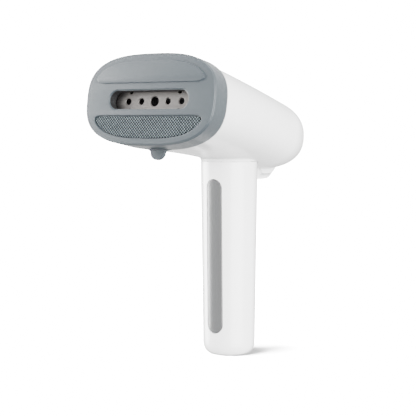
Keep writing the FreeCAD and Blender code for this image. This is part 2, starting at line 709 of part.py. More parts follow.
def pump():
    barrel = pump_axis_rod("pump_radius", "pump_front", "pump_back")
    front_nipple = pump_axis_rod("nipple_radius", "pump_front - nipple_length", "pump_front + 1")
    rear_nipple = pump_axis_rod("nipple_radius", "pump_back - 1", "pump_back + nipple_length")
    keep(join([barrel, front_nipple, rear_nipple]), "pump_body")
    coil_block = block(("-coil_half_width", "coil_half_width"), ("coil_front", "coil_back"),
                       ("pump_height - coil_half_width", "pump_height + coil_half_width"))
    keep(remove(coil_block, [pump_axis_rod("pump_radius", "coil_front - 1", "coil_back + 1")]),
         "pump_coil")
    mounts = []
    for cradle in ("front_cradle", "rear_cradle"):
        end = f"{cradle} + cradle_thickness"
        mounts.append(remove(pump_axis_rod("mount_radius", cradle, end),
                             [pump_axis_rod("pump_radius", f"{cradle} - 1", f"{end} + 1")]))
    keep(apart(mounts), "pump_mounts")
    hose = remove(pump_axis_rod("hose_radius", "boiler_back", "pump_front"),
                  [pump_axis_rod("nipple_radius", "boiler_back - 1", "pump_front + 1")])
    keep(apart([hose]), "feed_hose")


def bent_path(points, bend):
    """Straight runs joined by tangent arcs of one radius."""
    edges = []
    start = points[0]
    for before, corner, after in zip(points, points[1:], points[2:]):
        way_in = (corner - before).normalize()
        way_out = (after - corner).normalize()
        turn = way_in.getAngle(way_out)
        reach = bend * math.tan(turn / 2)
        arc_start = corner - way_in * reach
        arc_end = corner + way_out * reach
        towards = (way_out - way_in).normalize()
        middle = corner + towards * (bend / math.cos(turn / 2) - bend)
        edges.append(Part.LineSegment(start, arc_start).toShape())
        edges.append(Part.Arc(arc_start, middle, arc_end).toShape())
        start = arc_end
    edges.append(Part.LineSegment(start, points[-1]).toShape())
    return Part.Wire(edges)


def tube_along(path, radius):
    first = path.Edges[0]
    centre = first.Vertexes[0].Point
    direction = first.tangentAt(first.FirstParameter)
    ring = Part.Wire([Part.makeCircle(radius, centre, direction)])
    return path.makePipeShell([ring], True, True)


def suction_hose():
    """Silicone tube from the neck socket's barb, under the pump, to its rear nipple."""
    barb = TO_HEAD.multVec(Vector(0, size("barb_y"), size("barb_top")))
    pump_end = Vector(0, size("pump_back") + size("nipple_length"), size("pump_height"))
    lane = size("suction_lane")
    back = pump_end.y + size("suction_reach")
    points = [barb + Vector(0, 0, 0.2), Vector(0, barb.y, lane), Vector(0, back, lane),
              Vector(0, back, pump_end.z), pump_end]
    path = bent_path(points, size("suction_bend"))
    outer = tube_along(path, size("suction_radius"))
    inner = tube_along(path, size("suction_bore"))
    add_feature("suction_hose", outer.cut(inner), HEAD)


def electronics():
    back_face = "board_x + board_thickness"
    board = block(("board_x", back_face), ("board_front", "board_back"),
                  ("deck_high", "board_high"))
    keep(apart([board]), "control_board")
    relay = block(("board_x - 7", "board_x"), ("board_front + 2", "board_front + 14"),
                  ("-4", "8"))
    capacitor = rod("3", ("board_x - 6.5", "board_front + 18", "4"), "6.5", "x")
    connector = block(("board_x - 5", "board_x"), ("board_front + 4", "board_front + 18"),
                      ("-9.5", "-5"))
    keep(apart([relay, capacitor, connector]), "board_parts")


# ---------------------------------------------------------------- power button
def place_on_button(part):
    part.Placement = HEAD.multiply(button_placement())


def power_button():
    """Round button on the top of the head, square to its surface."""
    low = "button_proud - button_height"
    button = join([rod("button_radius", ("0", "0", low), "button_height"),
                   rod("stem_radius", ("0", "0", f"{low} - stem_length"), "stem_length + 1")])
    button = keep(apart([button]), "power_button", head=False)
    place_on_button(button)
    ring_low = "ring_proud - ring_height"
    light = remove(rod("ring_outside", ("0", "0", ring_low), "ring_height"),
                   [rod("ring_inside", ("0", "0", f"{ring_low} - 1"), "ring_height + 2")])
    light = keep(apart([light]), "light_ring", head=False)
    place_on_button(light)
    top = f"{low} - button_travel - 0.3"
    housing = remove(block(("-switch_half", "switch_half"), ("-switch_half", "switch_half"),
                           (f"{top} - switch_height", top)),
                     [rod("stem_radius + 0.3", ("0", "0", f"{top} - 2.4"), "3")])
    housing = keep(apart([housing]), "power_switch", head=False)
    place_on_button(housing)


# ---------------------------------------------------------------- trigger
def trigger_shape():
    """Paddle in the model frame: a thumb bump in front of its hinge."""
    hinge = Vector(0, size("hinge_y"), size("hinge_z"))
    reach = size("trigger_reach")
    low = size("trigger_low")
    web_top = hinge.z - size("web_drop")

    def on_arc(z):
        return Vector(0, hinge.y - math.sqrt(reach ** 2 - (hinge.z - z) ** 2), z)

    front_top = on_arc(web_top)
    front_low = on_arc(low + size("front_rise"))
    front_middle = on_arc((web_top + low + size("front_rise")) / 2)
    nose = Vector(0, front_low.y + size("nose_back"), low + size("nose_rise"))
    sole_start = Vector(0, front_low.y + size("sole_lead"), low)
    sole_end = Vector(0, hinge.y - size("sole_tail"), low + size("sole_rise"))
    waist = Vector(0, hinge.y - size("waist_tail"), low + size("waist_rise"))
    heel = Vector(0, hinge.y + size("heel_back"), low + size("heel_rise"))
    heel_top = Vector(0, heel.y, web_top)
    sole = Part.BSplineCurve()
    sole.interpolate([front_low, nose, sole_start, sole_end, waist, heel])
    edges = [Part.Arc(front_top, front_middle, front_low).toShape(),
             sole.toShape(),
             Part.LineSegment(heel, heel_top).toShape(),
             Part.LineSegment(heel_top, front_top).toShape()]
    half = size("trigger_half_width")
    side = Part.Face(Part.Wire(edges))
    side.translate(Vector(-half, 0, 0))
    paddle = side.extrude(Vector(2 * half, 0, 0))
    rounded = [edge for edge in paddle.Edges
               if abs(abs(edge.CenterOfMass.x) - half) < 1e-3 and edge.CenterOfMass.z < low + 6
               and edge.Length > 20]
    paddle = paddle.makeFillet(size("trigger_edge"), rounded)
    wall = size("paddle_wall")
    hollow_front = front_low.y + size("hollow_front")
    hollow = Part.makeBox(2 * (half - wall), hinge.y - size("hollow_tail") - hollow_front, web_top,
                          Vector(wall - half, hollow_front, low + size("paddle_floor")))
    paddle = paddle.cut(hollow)
    seat_floor = low + size("seat_floor")
    spring_seat = Part.makeCylinder(size("spring_radius") + 1.2, web_top - seat_floor,
                                    Vector(0, size("spring_y"), seat_floor))
    plunger = Part.makeCylinder(size("plunger_radius"), size("switch_low") + 0.4 - seat_floor,
                                Vector(0, size("switch_y"), seat_floor))
    barrel = Part.makeCylinder(size("barrel_radius"), 2 * half, Vector(-half, hinge.y, hinge.z),
                               Vector(1, 0, 0))
    bore = Part.makeCylinder(size("pin_radius") + size("pin_clearance"), 2 * half + 2,
                             Vector(-half - 1, hinge.y, hinge.z), Vector(1, 0, 0))
    return paddle.fuse([spring_seat, plunger, barrel]).cut(bore).removeSplitter()


def trigger():
    add_feature("trigger", trigger_shape())
    pin = rod("pin_radius", ("-pin_half_length", "hinge_y", "hinge_z"), "2 * pin_half_length", "x")
    keep(apart([pin]), "trigger_pin", head=False)
    plate = block(("-ear_outside", "ear_outside"), ("bracket_front", "bracket_back"),
                  ("seat_low", "seat_high"))
    ears = [block(x_range, ("ear_front", "bracket_back"), ("ear_low", "seat_high"))
            for x_range in (("-ear_outside", "-ear_inside"), ("ear_inside", "ear_outside"))]
    pin_hole = rod("pin_radius", ("-ear_outside - 1", "hinge_y", "hinge_z"),
                   "2 * ear_outside + 2", "x")
    keep(remove(join([plate] + ears), [pin_hole]), "trigger_bracket", head=False)
    housing = block(("-switch_half_width", "switch_half_width"),
                    ("switch_y - switch_half_length", "switch_y + switch_half_length"),
                    ("switch_low", "seat_low"))
    well = rod("plunger_well", ("0", "switch_y", "switch_low - 1"), "4")
    keep(remove(housing, [well]), "trigger_switch", head=False)


def trigger_spring():
    low = size("hinge_z") - size("web_drop")
    height = size("seat_low") - low - 2 * size("spring_wire")
    radius = size("spring_radius")
    helix = Part.makeHelix(height / size("spring_turns"), height, radius)
    ring = Part.Wire([Part.makeCircle(size("spring_wire"), Vector(radius, 0, 0), Vector(0, 1, 0))])
    coil = Part.Wire(helix).makePipeShell([ring], True, True)
    place = Placement(Vector(0, size("spring_y"), low + size("spring_wire")), Rotation())
    add_feature("trigger_spring", coil, place)


# ---------------------------------------------------------------- cord gland
def cord_gland():
    height = tail_centre()
    flange_back = size("gland_inside") + size("gland_flange_thickness")
    tail_end = size("shell_rear") + size("tail_length")
    sleeve = bar_y(size("gland_radius"), flange_back - 1, tail_end, z=height)
    flange = bar_y(size("gland_flange"), size("gland_inside"), flange_back, z=height)
    relief = Part.makeCone(size("gland_radius"), size("gland_tip_radius"),
                           size("gland_tip") - tail_end, Vector(0, tail_end, height),
                           Vector(0, 1, 0))
    gland = sleeve.fuse([flange, relief])
    groove_start = tail_end + size("rib_start")
    while groove_start + size("rib_groove") < size("gland_tip"):
        groove_end = groove_start + size("rib_groove")
        groove = bar_y(size("gland_flange"), groove_start, groove_end, z=height).cut(
            bar_y(size("gland_tip_radius"), groove_start - 1, groove_end + 1, z=height))
        gland = gland.cut(groove)
        groove_start += size("rib_pitch")
    gland = gland.cut(bar_y(size("gland_bore"), size("gland_inside") - 1,
                            size("gland_tip") + 1, z=height))
    add_feature("cord_gland", gland, HEAD)
    height = size("clamp_height")
    clamp = Part.makeBox(2 * size("clamp_half_width"), size("clamp_back") - size("clamp_front"),
                         2 * size("clamp_half_height"),
                         Vector(-size("clamp_half_width"), size("clamp_front"),
                                height - size("clamp_half_height")))
    clamp = clamp.cut(bar_y(size("clamp_bore"), size("clamp_front") - 1,
                            size("clamp_back") + 1, z=height))
    middle = (size("clamp_front") + size("clamp_back")) / 2
    screw_x = size("clamp_half_width") - size("clamp_screw_inset")
    head_low = height + size("clamp_half_height")
    screws_made = []
    for x in (-screw_x, screw_x):
        shank = Part.makeCylinder(size("screw_radius"), 2 * size("clamp_half_height"),
                                  Vector(x, middle, height - size("clamp_half_height")))
        cap = Part.makeCylinder(size("screw_head_radius"), size("screw_head_height"),
                                Vector(x, middle, head_low))
        screws_made.append(shank.fuse(cap))
        clamp = clamp.cut(shank)
    add_feature("cord_clamp", clamp, HEAD)
    add_feature("clamp_screws", Part.makeCompound(screws_made), HEAD)


# ---------------------------------------------------------------- neck socket
def neck_socket():
    hub = rod("socket_radius", ("0", "0", "socket_low"), "socket_high - socket_low")
    flange = rod("neck_bore", ("0", "0", "flange_low"), "socket_high - flange_low")
    barb = rod("barb_radius", ("0", "barb_y", "socket_high - 1"), "barb_top - socket_high + 1")
    well = rod("socket_bore", ("0", "0", "socket_low - 1"), "flange_low - socket_low + 1.6")
    groove = rod("groove_radius", ("0", "0", "groove_low"), "groove_high - groove_low")
    channel = block(("-barb_bore", "barb_bore"), ("0", "barb_y"),
                    ("flange_low + 0.4", "flange_low + 2"))
    riser = rod("barb_bore", ("0", "barb_y", "flange_low + 0.4"), "barb_top - flange_low + 1")
    keep(remove(join([hub, flange, barb]), [well, groove, channel, riser]), "neck_socket",
         head=False)
    seal = ring_wire("seal_ring_radius", "seal_ring_wire",
                     ("0", "0", "(groove_low + groove_high) / 2"))
    keep(apart([seal]), "dock_seal", head=False)


# ---------------------------------------------------------------- water tank handle
def grip_radius(height):
    """Sheet expression of the handle's outer radius at a height."""
    return (f"(grip_base_radius + (grip_top_radius - grip_base_radius)"
            f" * ({height}) / grip_high)")


def window_bar(inset):
    """The window's outline, pushed through the front wall of the handle."""
    half = f"(window_half_width - {inset})"
    low = f"window_low + {inset} + {half}"
    high = f"window_high - {inset} - {half}"
    middle = block((f"-{half}", half), ("-30", "-8"), (low, high))
    ends = [rod(half, ("0", "-30", z), "22", "y") for z in (low, high)]
    return join([middle] + ends)


def handle_sleeve():
    corners = [("foot_opening", "grip_low"),
               (f"{grip_radius('grip_low')}", "grip_low"),
               ("grip_top_radius", "grip_high"),
               ("grip_top_radius - sleeve_wall", "grip_high"),
               (f"{grip_radius('grip_low')} - sleeve_wall", "grip_low + sleeve_wall + 1"),
               ("foot_opening", "grip_low + sleeve_wall + 1")]
    body = turned("sleeve_blank", corners)
    doc.recompute()
    rims = [f"Edge{number}" for number, edge in enumerate(body.Shape.Edges, 1)
            if isinstance(edge.Curve, Part.Circle)
            and edge.Curve.Radius > size("foot_opening") + 3
            and abs(edge.Curve.Center.z - size("grip_low")) < 0.01]
    blank = body.Tip
    fillet = body.newObject("PartDesign::Fillet", "foot_round")
    fillet.Base = (blank, rims)
    fillet.setExpression("Radius", formula("grip_round"))
    body.Tip = fillet
    keep(remove(body, [window_bar("0")]), "handle_sleeve", head=False)


def tank_liner():
    gap = "(sleeve_wall + liner_gap)"
    low_radius = f"{grip_radius('liner_low')} - {gap}"
    high_radius = f"{grip_radius('liner_high')} - {gap}"
    floor = "liner_low + liner_wall"
    vessel = turned("liner_blank", [
        ("0", "liner_low"), (f"{low_radius} - 2.4", "liner_low"),
        (low_radius, "liner_low + 3"), (high_radius, "liner_high"),
        (f"{high_radius} - liner_wall", "liner_high"),
        (f"{low_radius} - liner_wall", f"{floor} + 2.4"),
        (f"{low_radius} - liner_wall - 2.4", floor), ("0", floor)])
    outside = taper(f"{grip_radius('0')} - 0.05", f"{grip_radius('grip_high')} - 0.05",
                    ("0", "0", "0"), "grip_high")
    inside = taper(f"{grip_radius('0')} - {gap} - 0.5", f"{grip_radius('grip_high')} - {gap} - 0.5",
                   ("0", "0", "0"), "grip_high")
    wall_ring = remove(outside, [inside])
    rib = doc.addObject("Part::Common", "window_rib")
    rib.Base = wall_ring
    rib.Tool = window_bar("window_gap")
    keep(join([vessel, rib]), "tank_liner", head=False)


def tank_cap():
    boss = "(tube_radius + 1.6)"
    blank = turned("cap_blank", [
        ("tube_bore", "cap_low - 8"), (boss, "cap_low - 8"), (boss, "cap_low"),
        ("skirt_bore", "cap_low"), ("skirt_bore", "skirt_low"), ("skirt_radius", "skirt_low"),
        ("skirt_radius", "cap_low"), ("cap_radius", "cap_low"), ("cap_radius", "grip_high"),
        ("spigot_radius", "grip_high"), ("spigot_radius", "spigot_top"),
        ("tube_bore", "spigot_top")])
    valve_hole = rod("air_valve_radius", ("air_valve_x", "0", "cap_low - 1"),
                     "grip_high - cap_low + 2")
    tube_seat = rod("tube_radius", ("0", "0", "cap_low - 9"), "7")
    keep(remove(blank, [valve_hole, tube_seat]), "tank_cap", head=False)
    keep(turned("seal_blank", [
        ("seal_bore", "liner_high + seal_gap"), ("cap_radius", "liner_high + seal_gap"),
        ("cap_radius", "cap_low"), ("seal_bore", "cap_low")]), "tank_cap_seal", head=False)
    keep(turned("tube_blank", [
        ("tube_bore", "tube_low"), ("tube_radius", "tube_low"), ("tube_radius", "cap_low - 2"),
        ("tube_bore", "cap_low - 2")]), "suction_tube", head=False)
    keep(turned("filter_blank", [
        ("tube_radius", "filter_low + 3"), ("0", "filter_low + 3"), ("0", "filter_low"),
        ("filter_radius", "filter_low"), ("filter_radius", "filter_high"),
        ("tube_radius", "filter_high")]), "tank_filter", head=False)
    valve = join([rod("air_valve_radius", ("air_valve_x", "0", "cap_low"), "grip_high - cap_low"),
                  taper("0.6", "air_valve_radius", ("air_valve_x", "0", "air_valve_low"),
                        "cap_low - air_valve_low")])
    keep(apart([valve]), "air_valve", head=False)


def handle_base():
    top = "liner_low"
    keep(turned("base_blank", [
        ("0", "foot_high"), ("foot_radius", "foot_high"), ("foot_radius", "base_cap_low"),
        ("foot_opening", "base_cap_low"), ("foot_opening", top), ("0", top)]),
        "base_cap", head=False)
    keep(turned("foot_blank", [
        ("0", "0"), ("foot_radius - 0.6", "0"), ("foot_radius", "0.6"),
        ("foot_radius", "foot_high"), ("0", "foot_high")]), "foot_pad", head=False)


# ---------------------------------------------------------------- build and export
def check_document():
    for part in doc.Objects:
        if "Invalid" in part.State or "Error" in part.State:
            raise RuntimeError(f"{part.Label} ({part.Name}) failed: {part.State}")
    labels = [part.Label for part in NODES]
    if len(set(labels)) != len(labels):
        raise RuntimeError("two sub-parts share a label")
    for part in NODES:
        shape = part.Shape
        if shape.isNull() or not shape.isValid() or not shape.Solids:
            raise RuntimeError(f"{part.Label} has no valid solid")


def export_nodes():
    os.makedirs("parts", exist_ok=True)
    for part in NODES:
        part.Shape.exportStep(f"parts/{part.Label}.step")


for build in (body_shell, mouthpiece_cover, fabric_pad, steam_plate, nozzle_block, front_frame,
              frame_screws, boiler, chassis, pump, suction_hose, electronics, power_button,
              trigger, trigger_spring, cord_gland, neck_socket, handle_sleeve, tank_liner,
              tank_cap, handle_base):
    build()
doc.recompute()
check_document()
export_nodes()
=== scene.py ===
"""Handheld garment steamer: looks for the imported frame.

The visible mouldings (shell, mouthpiece cover, fabric pad, handle sleeve, steam plate, trigger)
are built here as smooth meshes and stand for their CAD nodes; the other nodes keep their own
meshes and get procedural materials.  Everything is in metres, in the frame's axes.
"""

import math

import bmesh
import bpy
import numpy as np
from mathutils import Matrix, Vector
from mathutils.geometry import tessellate_polygon


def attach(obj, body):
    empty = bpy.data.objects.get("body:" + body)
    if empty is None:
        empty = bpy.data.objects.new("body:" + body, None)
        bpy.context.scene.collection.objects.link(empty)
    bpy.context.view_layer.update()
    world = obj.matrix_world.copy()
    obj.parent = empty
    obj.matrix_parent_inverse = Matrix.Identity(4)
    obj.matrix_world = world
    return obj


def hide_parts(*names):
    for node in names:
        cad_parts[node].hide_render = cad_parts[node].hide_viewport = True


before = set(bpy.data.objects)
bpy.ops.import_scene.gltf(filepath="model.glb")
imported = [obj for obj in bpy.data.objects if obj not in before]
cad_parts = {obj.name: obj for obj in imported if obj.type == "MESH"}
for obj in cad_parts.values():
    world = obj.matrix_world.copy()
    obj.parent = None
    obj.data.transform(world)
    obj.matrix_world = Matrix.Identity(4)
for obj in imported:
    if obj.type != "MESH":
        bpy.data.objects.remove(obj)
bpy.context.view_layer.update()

MM = 0.001

# ---------------------------------------------------------------- the head's own axes
FACE_Y = -92.0 * MM
FACE_Z = 175.5 * MM
HEAD_TILT = math.radians(9.0)
TILT_COS = math.cos(HEAD_TILT)
TILT_SIN = math.sin(HEAD_TILT)


def from_head(points):
    """Points in the head's axes (x, rearwards from the face, up the face) in the frame's axes."""
    points = np.asarray(points, float)
    x, along, up = points[..., 0], points[..., 1], points[..., 2]
    return np.stack([x, FACE_Y + along * TILT_COS + up * TILT_SIN,
                     FACE_Z - along * TILT_SIN + up * TILT_COS], -1)


def to_head(points):
    points = np.asarray(points, float)
    x, y, z = points[..., 0], points[..., 1] - FACE_Y, points[..., 2] - FACE_Z
    return np.stack([x, y * TILT_COS - z * TILT_SIN, y * TILT_SIN + z * TILT_COS], -1)


# ---------------------------------------------------------------- mesh tools
JOIN_DISTANCE = 1e-7
class Skin:
    """Collects rings of points and the faces between them, then makes one object."""

    def __init__(self):
        self.points = []
        self.faces = []

    def ring(self, points):
        start = len(self.points)
        self.points.extend(np.asarray(points, float).tolist())
        return list(range(start, len(self.points)))

    def band(self, ring_a, ring_b):
        """Quads between two closed rings of equal count."""
        count = len(ring_a)
        for index in range(count):
            after = (index + 1) % count
            self.faces.append((ring_a[index], ring_a[after], ring_b[after], ring_b[index]))

    def strip(self, row_a, row_b):
        """Quads between two open rows of equal count."""
        for index in range(len(row_a) - 1):
            self.faces.append((row_a[index], row_a[index + 1], row_b[index + 1], row_b[index]))

    def bands(self, rings):
        made = [self.ring(points) for points in rings]
        for ring_a, ring_b in zip(made, made[1:]):
            self.band(ring_a, ring_b)
        return made[0], made[-1]

    def fan(self, ring, tip):
        centre = self.ring([tip])[0]
        count = len(ring)
        for index in range(count):
            self.faces.append((ring[index], ring[(index + 1) % count], centre))

    def fill(self, outline, holes=()):
        """Flat face between an outline and its holes, in any plane."""
        loops = [list(outline)] + [list(hole) for hole in holes]
        flat = [index for loop in loops for index in loop]
        vectors = [[Vector(self.points[index]) for index in loop] for loop in loops]
        for triangle in tessellate_polygon(vectors):
            self.faces.append(tuple(flat[corner] for corner in triangle))

    def make(self, name, head=True, sharp=40.0):
        points = from_head(self.points) if head else np.asarray(self.points)
        mesh = bpy.data.meshes.new(name)
        mesh.from_pydata(points.tolist(), [], self.faces)
        return finish_mesh(name, mesh, sharp)


def finish_mesh(name, mesh, sharp=40.0):
    """An object with joined points, outward normals and smooth shading up to an angle."""
    work = bmesh.new()
    work.from_mesh(mesh)
    bmesh.ops.remove_doubles(work, verts=work.verts, dist=JOIN_DISTANCE)
    bmesh.ops.recalc_face_normals(work, faces=work.faces)
    work.to_mesh(mesh)
    work.free()
    mesh.shade_smooth()
    mesh.set_sharp_from_angle(angle=math.radians(sharp))
    made = bpy.data.objects.new(name, mesh)
    bpy.context.scene.collection.objects.link(made)
    return made


def applied(target, sharp=40.0):
    """Bakes the object's modifiers into its mesh."""
    depsgraph = bpy.context.evaluated_depsgraph_get()
    mesh = bpy.data.meshes.new_from_object(target.evaluated_get(depsgraph))
    target.modifiers.clear()
    old = target.data
    target.data = mesh
    bpy.data.meshes.remove(old)
    mesh.shade_smooth()
    mesh.set_sharp_from_angle(angle=math.radians(sharp))
    return target


def carve(target, tools, operation="DIFFERENCE", sharp=40.0):
    """Cuts the tools out of the target, or joins them to it, and deletes the tools."""
    for tool in tools:
        change = target.modifiers.new("carve", "BOOLEAN")
        change.operation = operation
        change.solver = "EXACT"
        change.object = tool
        applied(target, sharp)
        bpy.data.objects.remove(tool)
    return target


def drum(radius, low, high, axis="z", centre=(0, 0), segments=160, head=False):
    """A closed cylinder used as a tool; centre is its place across the axis."""
    angles = np.linspace(0, 2 * math.pi, segments, endpoint=False)
    across = centre[0] + radius * np.cos(angles)
    aside = centre[1] + radius * np.sin(angles)
    order = {"y": (0, 2, 1), "z": (0, 1, 2)}[axis]
    skin = Skin()
    rings = []
    for level in (low, high):
        columns = np.stack([across, aside, np.full(segments, level)], -1)
        rings.append(skin.ring(columns[:, order]))
    skin.band(rings[0], rings[1])
    skin.fill(rings[0])
    skin.fill(rings[1])
    return skin.make("tool", head)


def brick(low, high, head=False):
    """A closed box used as a tool."""
    corners = [(low[0], low[1]), (high[0], low[1]), (high[0], high[1]), (low[0], high[1])]
    skin = Skin()
    bottom, top = (skin.ring([(x, y, level) for x, y in corners]) for level in (low[2], high[2]))
    skin.band(bottom, top)
    skin.fill(bottom)
    skin.fill(top)
    return skin.make("tool", head)


# ---------------------------------------------------------------- outlines
DENSE = 60


def evenly(points, count):
    """The closed outline again, with points at equal distances."""
    closed = np.vstack([points, points[:1]])
    steps = np.linalg.norm(np.diff(closed, axis=0), axis=1)
    travelled = np.concatenate([[0], np.cumsum(steps)])
    wanted = np.linspace(0, travelled[-1], count, endpoint=False)
    return np.stack([np.interp(wanted, travelled, closed[:, axis]) for axis in (0, 1)], -1)


def superellipse(half_width, top, depth, upper_power, lower_power, count=200):
    """A closed curve with its own power above and below its middle."""
    angle = np.linspace(0, 2 * math.pi, DENSE * count, endpoint=False)
    across, up = np.cos(angle), np.sin(angle)
    power = np.where(up >= 0, upper_power, lower_power)
    x = half_width * np.sign(across) * np.abs(across) ** (2 / power)
    z = (top - depth) / 2 + (top + depth) / 2 * np.sign(up) * np.abs(up) ** (2 / power)
    return evenly(np.stack([x, z], -1), count)


def stadium(half_length, half_height, middle=(0.0, 0.0), count=160, upright=False):
    reach = half_length - half_height
    angle = np.linspace(0, 2 * math.pi, 4 * count, endpoint=False)
    across = half_height * np.cos(angle) + np.where(np.cos(angle) >= 0, reach, -reach)
    up = half_height * np.sin(angle)
    outline = evenly(np.stack([across, up], -1), count)
    if upright:
        outline = np.stack([-outline[:, 1], outline[:, 0]], -1)
    return outline + np.array(middle)


def circle(radius, middle, count=48):
    angle = np.linspace(0, 2 * math.pi, count, endpoint=False)
    return np.stack([middle[0] + radius * np.cos(angle), middle[1] + radius * np.sin(angle)], -1)


def offset(outline, distance):
    """The outline moved outwards by a distance along its normals."""
    tangent = np.roll(outline, -1, axis=0) - np.roll(outline, 1, axis=0)
    tangent /= np.linalg.norm(tangent, axis=1)[:, None]
    return outline + distance * np.stack([tangent[:, 1], -tangent[:, 0]], -1)


def at_depth(outline, depth):
    """A face outline as points in the head's axes."""
    return np.stack([outline[:, 0], np.full(len(outline), depth), outline[:, 1]], -1)


def swept(outline, profile):
    """Rings of an outline along a profile of (outward offset, depth) pairs."""
    return [at_depth(offset(outline, away), depth) for away, depth in profile]


def quarter(start, end, bulge_first, steps=5):
    """A quarter round from start to end; bulge_first moves along the first value first."""
    angle = np.linspace(0, math.pi / 2, steps + 1)
    first = np.sin(angle) if bulge_first else 1 - np.cos(angle)
    second = 1 - np.cos(angle) if bulge_first else np.sin(angle)
    return [(start[0] + (end[0] - start[0]) * a, start[1] + (end[1] - start[1]) * b)
            for a, b in zip(first, second)]


# ---------------------------------------------------------------- materials
class Look:
    """One procedural material around a Principled shader."""

    def __init__(self, name):
        self.material = bpy.data.materials.new(name)
        self.material.use_nodes = True
        self.tree = self.material.node_tree
        self.tree.nodes.clear()
        output = self.add("ShaderNodeOutputMaterial")
        self.shader = self.add("ShaderNodeBsdfPrincipled")
        self.link(self.shader, "BSDF", output, "Surface")
        self.coordinates = self.add("ShaderNodeTexCoord")

    def add(self, kind, **values):
        node = self.tree.nodes.new(kind)
        for name, value in values.items():
            if hasattr(node, name):
                setattr(node, name, value)
            else:
                node.inputs[name].default_value = value
        return node

    def link(self, source, output, target, name):
        self.tree.links.new(source.outputs[output], target.inputs[name])

    def set(self, **values):
        for name, value in values.items():
            self.shader.inputs[name.replace("_", " ")].default_value = value

    def noise(self, scale, detail=3.0, stretch=(1, 1, 1)):
        mapping = self.add("ShaderNodeMapping")
        mapping.inputs["Scale"].default_value = stretch
        self.link(self.coordinates, "Object", mapping, "Vector")
        noise = self.add("ShaderNodeTexNoise", Scale=scale, Detail=detail)
        self.link(mapping, "Vector", noise, "Vector")
        return noise

    def ramp(self, source, output, stops):
        ramp = self.add("ShaderNodeValToRGB")
        elements = ramp.color_ramp.elements
        while len(elements) < len(stops):
            elements.new(0.5)
        for element, (place, colour) in zip(elements, stops):
            element.position = place
            element.color = (*colour, 1)
        self.link(source, output, ramp, "Fac")
        return ramp

    def tint(self, colour, spread=0.03, scale=60.0):
        """Base colour with a slight cloudiness."""
        darker = tuple(channel * (1 - spread) for channel in colour)
        ramp = self.ramp(self.noise(scale), "Fac", [(0.3, darker), (0.7, colour)])
        self.link(ramp, "Color", self.shader, "Base Color")
        return ramp

    def sheen_of(self, low, high, scale=400.0, stretch=(1, 1, 1)):
        """Roughness between two values."""
        ramp = self.ramp(self.noise(scale, 4.0, stretch), "Fac",
                         [(0.3, (low,) * 3), (0.7, (high,) * 3)])
        self.link(ramp, "Color", self.shader, "Roughness")

    def grain(self, scale, strength, distance, stretch=(1, 1, 1)):
        """Fine bump."""
        bump = self.add("ShaderNodeBump", Strength=strength, Distance=distance)
        self.link(self.noise(scale, 3.0, stretch), "Fac", bump, "Height")
        self.link(bump, "Normal", self.shader, "Normal")


def srgb(red, green, blue):
    """Linear colour from 0-255 screen values."""
    return tuple(((value / 255 + 0.055) / 1.055) ** 2.4 for value in (red, green, blue))


PAD_FRONT = 0.45 * MM
YARN_PITCH = 1.02 * MM
YARN_HEIGHT = 0.30 * MM
YARN_ROUNDNESS = 0.8
WEFT_SHADE = 0.55
FUZZ = 0.7
# colours by yarn height, partly painted shade: darkest in the gaps between yarns, lightest on the
# raised tops
YARN_COLOURS = [(0.30, (2, 3, 4)), (0.66, (22, 28, 31)), (1.0, (112, 124, 128))]

# painted shade: these white mouldings' colour darkens towards their outlines, where the surface
# turns away, down to RIM_SHADE
PAINTED_RIM_LOOKS = ("white_shell", "white_grip", "white_lever")
RIM_SHADE = 0.45
RIM_START = 0.50
RIM_END = 0.95
GRAIN_STRENGTH = 0.5

# slot: screen colour, metallic, roughness range, grain scale, grain depth in mm
PLAIN_LOOKS = {
    "white_shell": ((243, 243, 243), 0.0, (0.16, 0.24), 900, 0.004),
    "white_lever": ((243, 243, 243), 0.0, (0.18, 0.26), 900, 0.004),
    "white_grip": ((243, 243, 243), 0.0, (0.16, 0.24), 900, 0.004),
    "button_white": ((238, 239, 240), 0.0, (0.22, 0.30), 900, 0.005),
    "grey_cover": ((42, 51, 56), 0.0, (0.38, 0.48), 2600, 0.012),
    "black_plastic": ((16, 17, 18), 0.0, (0.60, 0.75), 1800, 0.02),
    "cast_aluminium": ((52, 53, 54), 1.0, (0.60, 0.75), 700, 0.06),
    "heater_steel": ((120, 114, 108), 1.0, (0.30, 0.45), 1500, 0.01),
    "red_silicone": ((176, 58, 44), 0.0, (0.45, 0.58), 1500, 0.01),
    "clear_silicone": ((206, 210, 208), 0.0, (0.30, 0.42), 1200, 0.01),
    "screw_steel": ((168, 170, 174), 1.0, (0.24, 0.36), 2500, 0.008),
    "bimetal_disc": ((188, 184, 172), 1.0, (0.28, 0.40), 1800, 0.008),
    "fuse_ceramic": ((222, 216, 202), 0.0, (0.50, 0.65), 2000, 0.02),
    "shield_tin": ((190, 192, 194), 1.0, (0.26, 0.40), 900, 0.01),
    "pump_plastic": ((60, 66, 74), 0.0, (0.40, 0.52), 1500, 0.015),
    "coil_tape": ((196, 150, 44), 0.0, (0.32, 0.45), 1300, 0.01),
    "board_laminate": ((38, 94, 62), 0.0, (0.34, 0.46), 1500, 0.01),
    "board_components": ((44, 52, 70), 0.0, (0.36, 0.50), 1500, 0.015),
    "switch_black": ((30, 31, 33), 0.0, (0.40, 0.52), 1800, 0.015),
    "pin_steel": ((176, 178, 182), 1.0, (0.20, 0.30), 2500, 0.006),
    "spring_steel": ((150, 152, 156), 1.0, (0.24, 0.36), 2500, 0.006),
    "cord_rubber": ((226, 227, 228), 0.0, (0.48, 0.60), 2200, 0.02),
    "cap_grey": ((150, 156, 160), 0.0, (0.36, 0.48), 2200, 0.012),
    "foot_rubber": ((120, 123, 126), 0.0, (0.60, 0.75), 2200, 0.03),
    "filter_mesh": ((150, 154, 158), 0.0, (0.50, 0.62), 3000, 0.05),
}


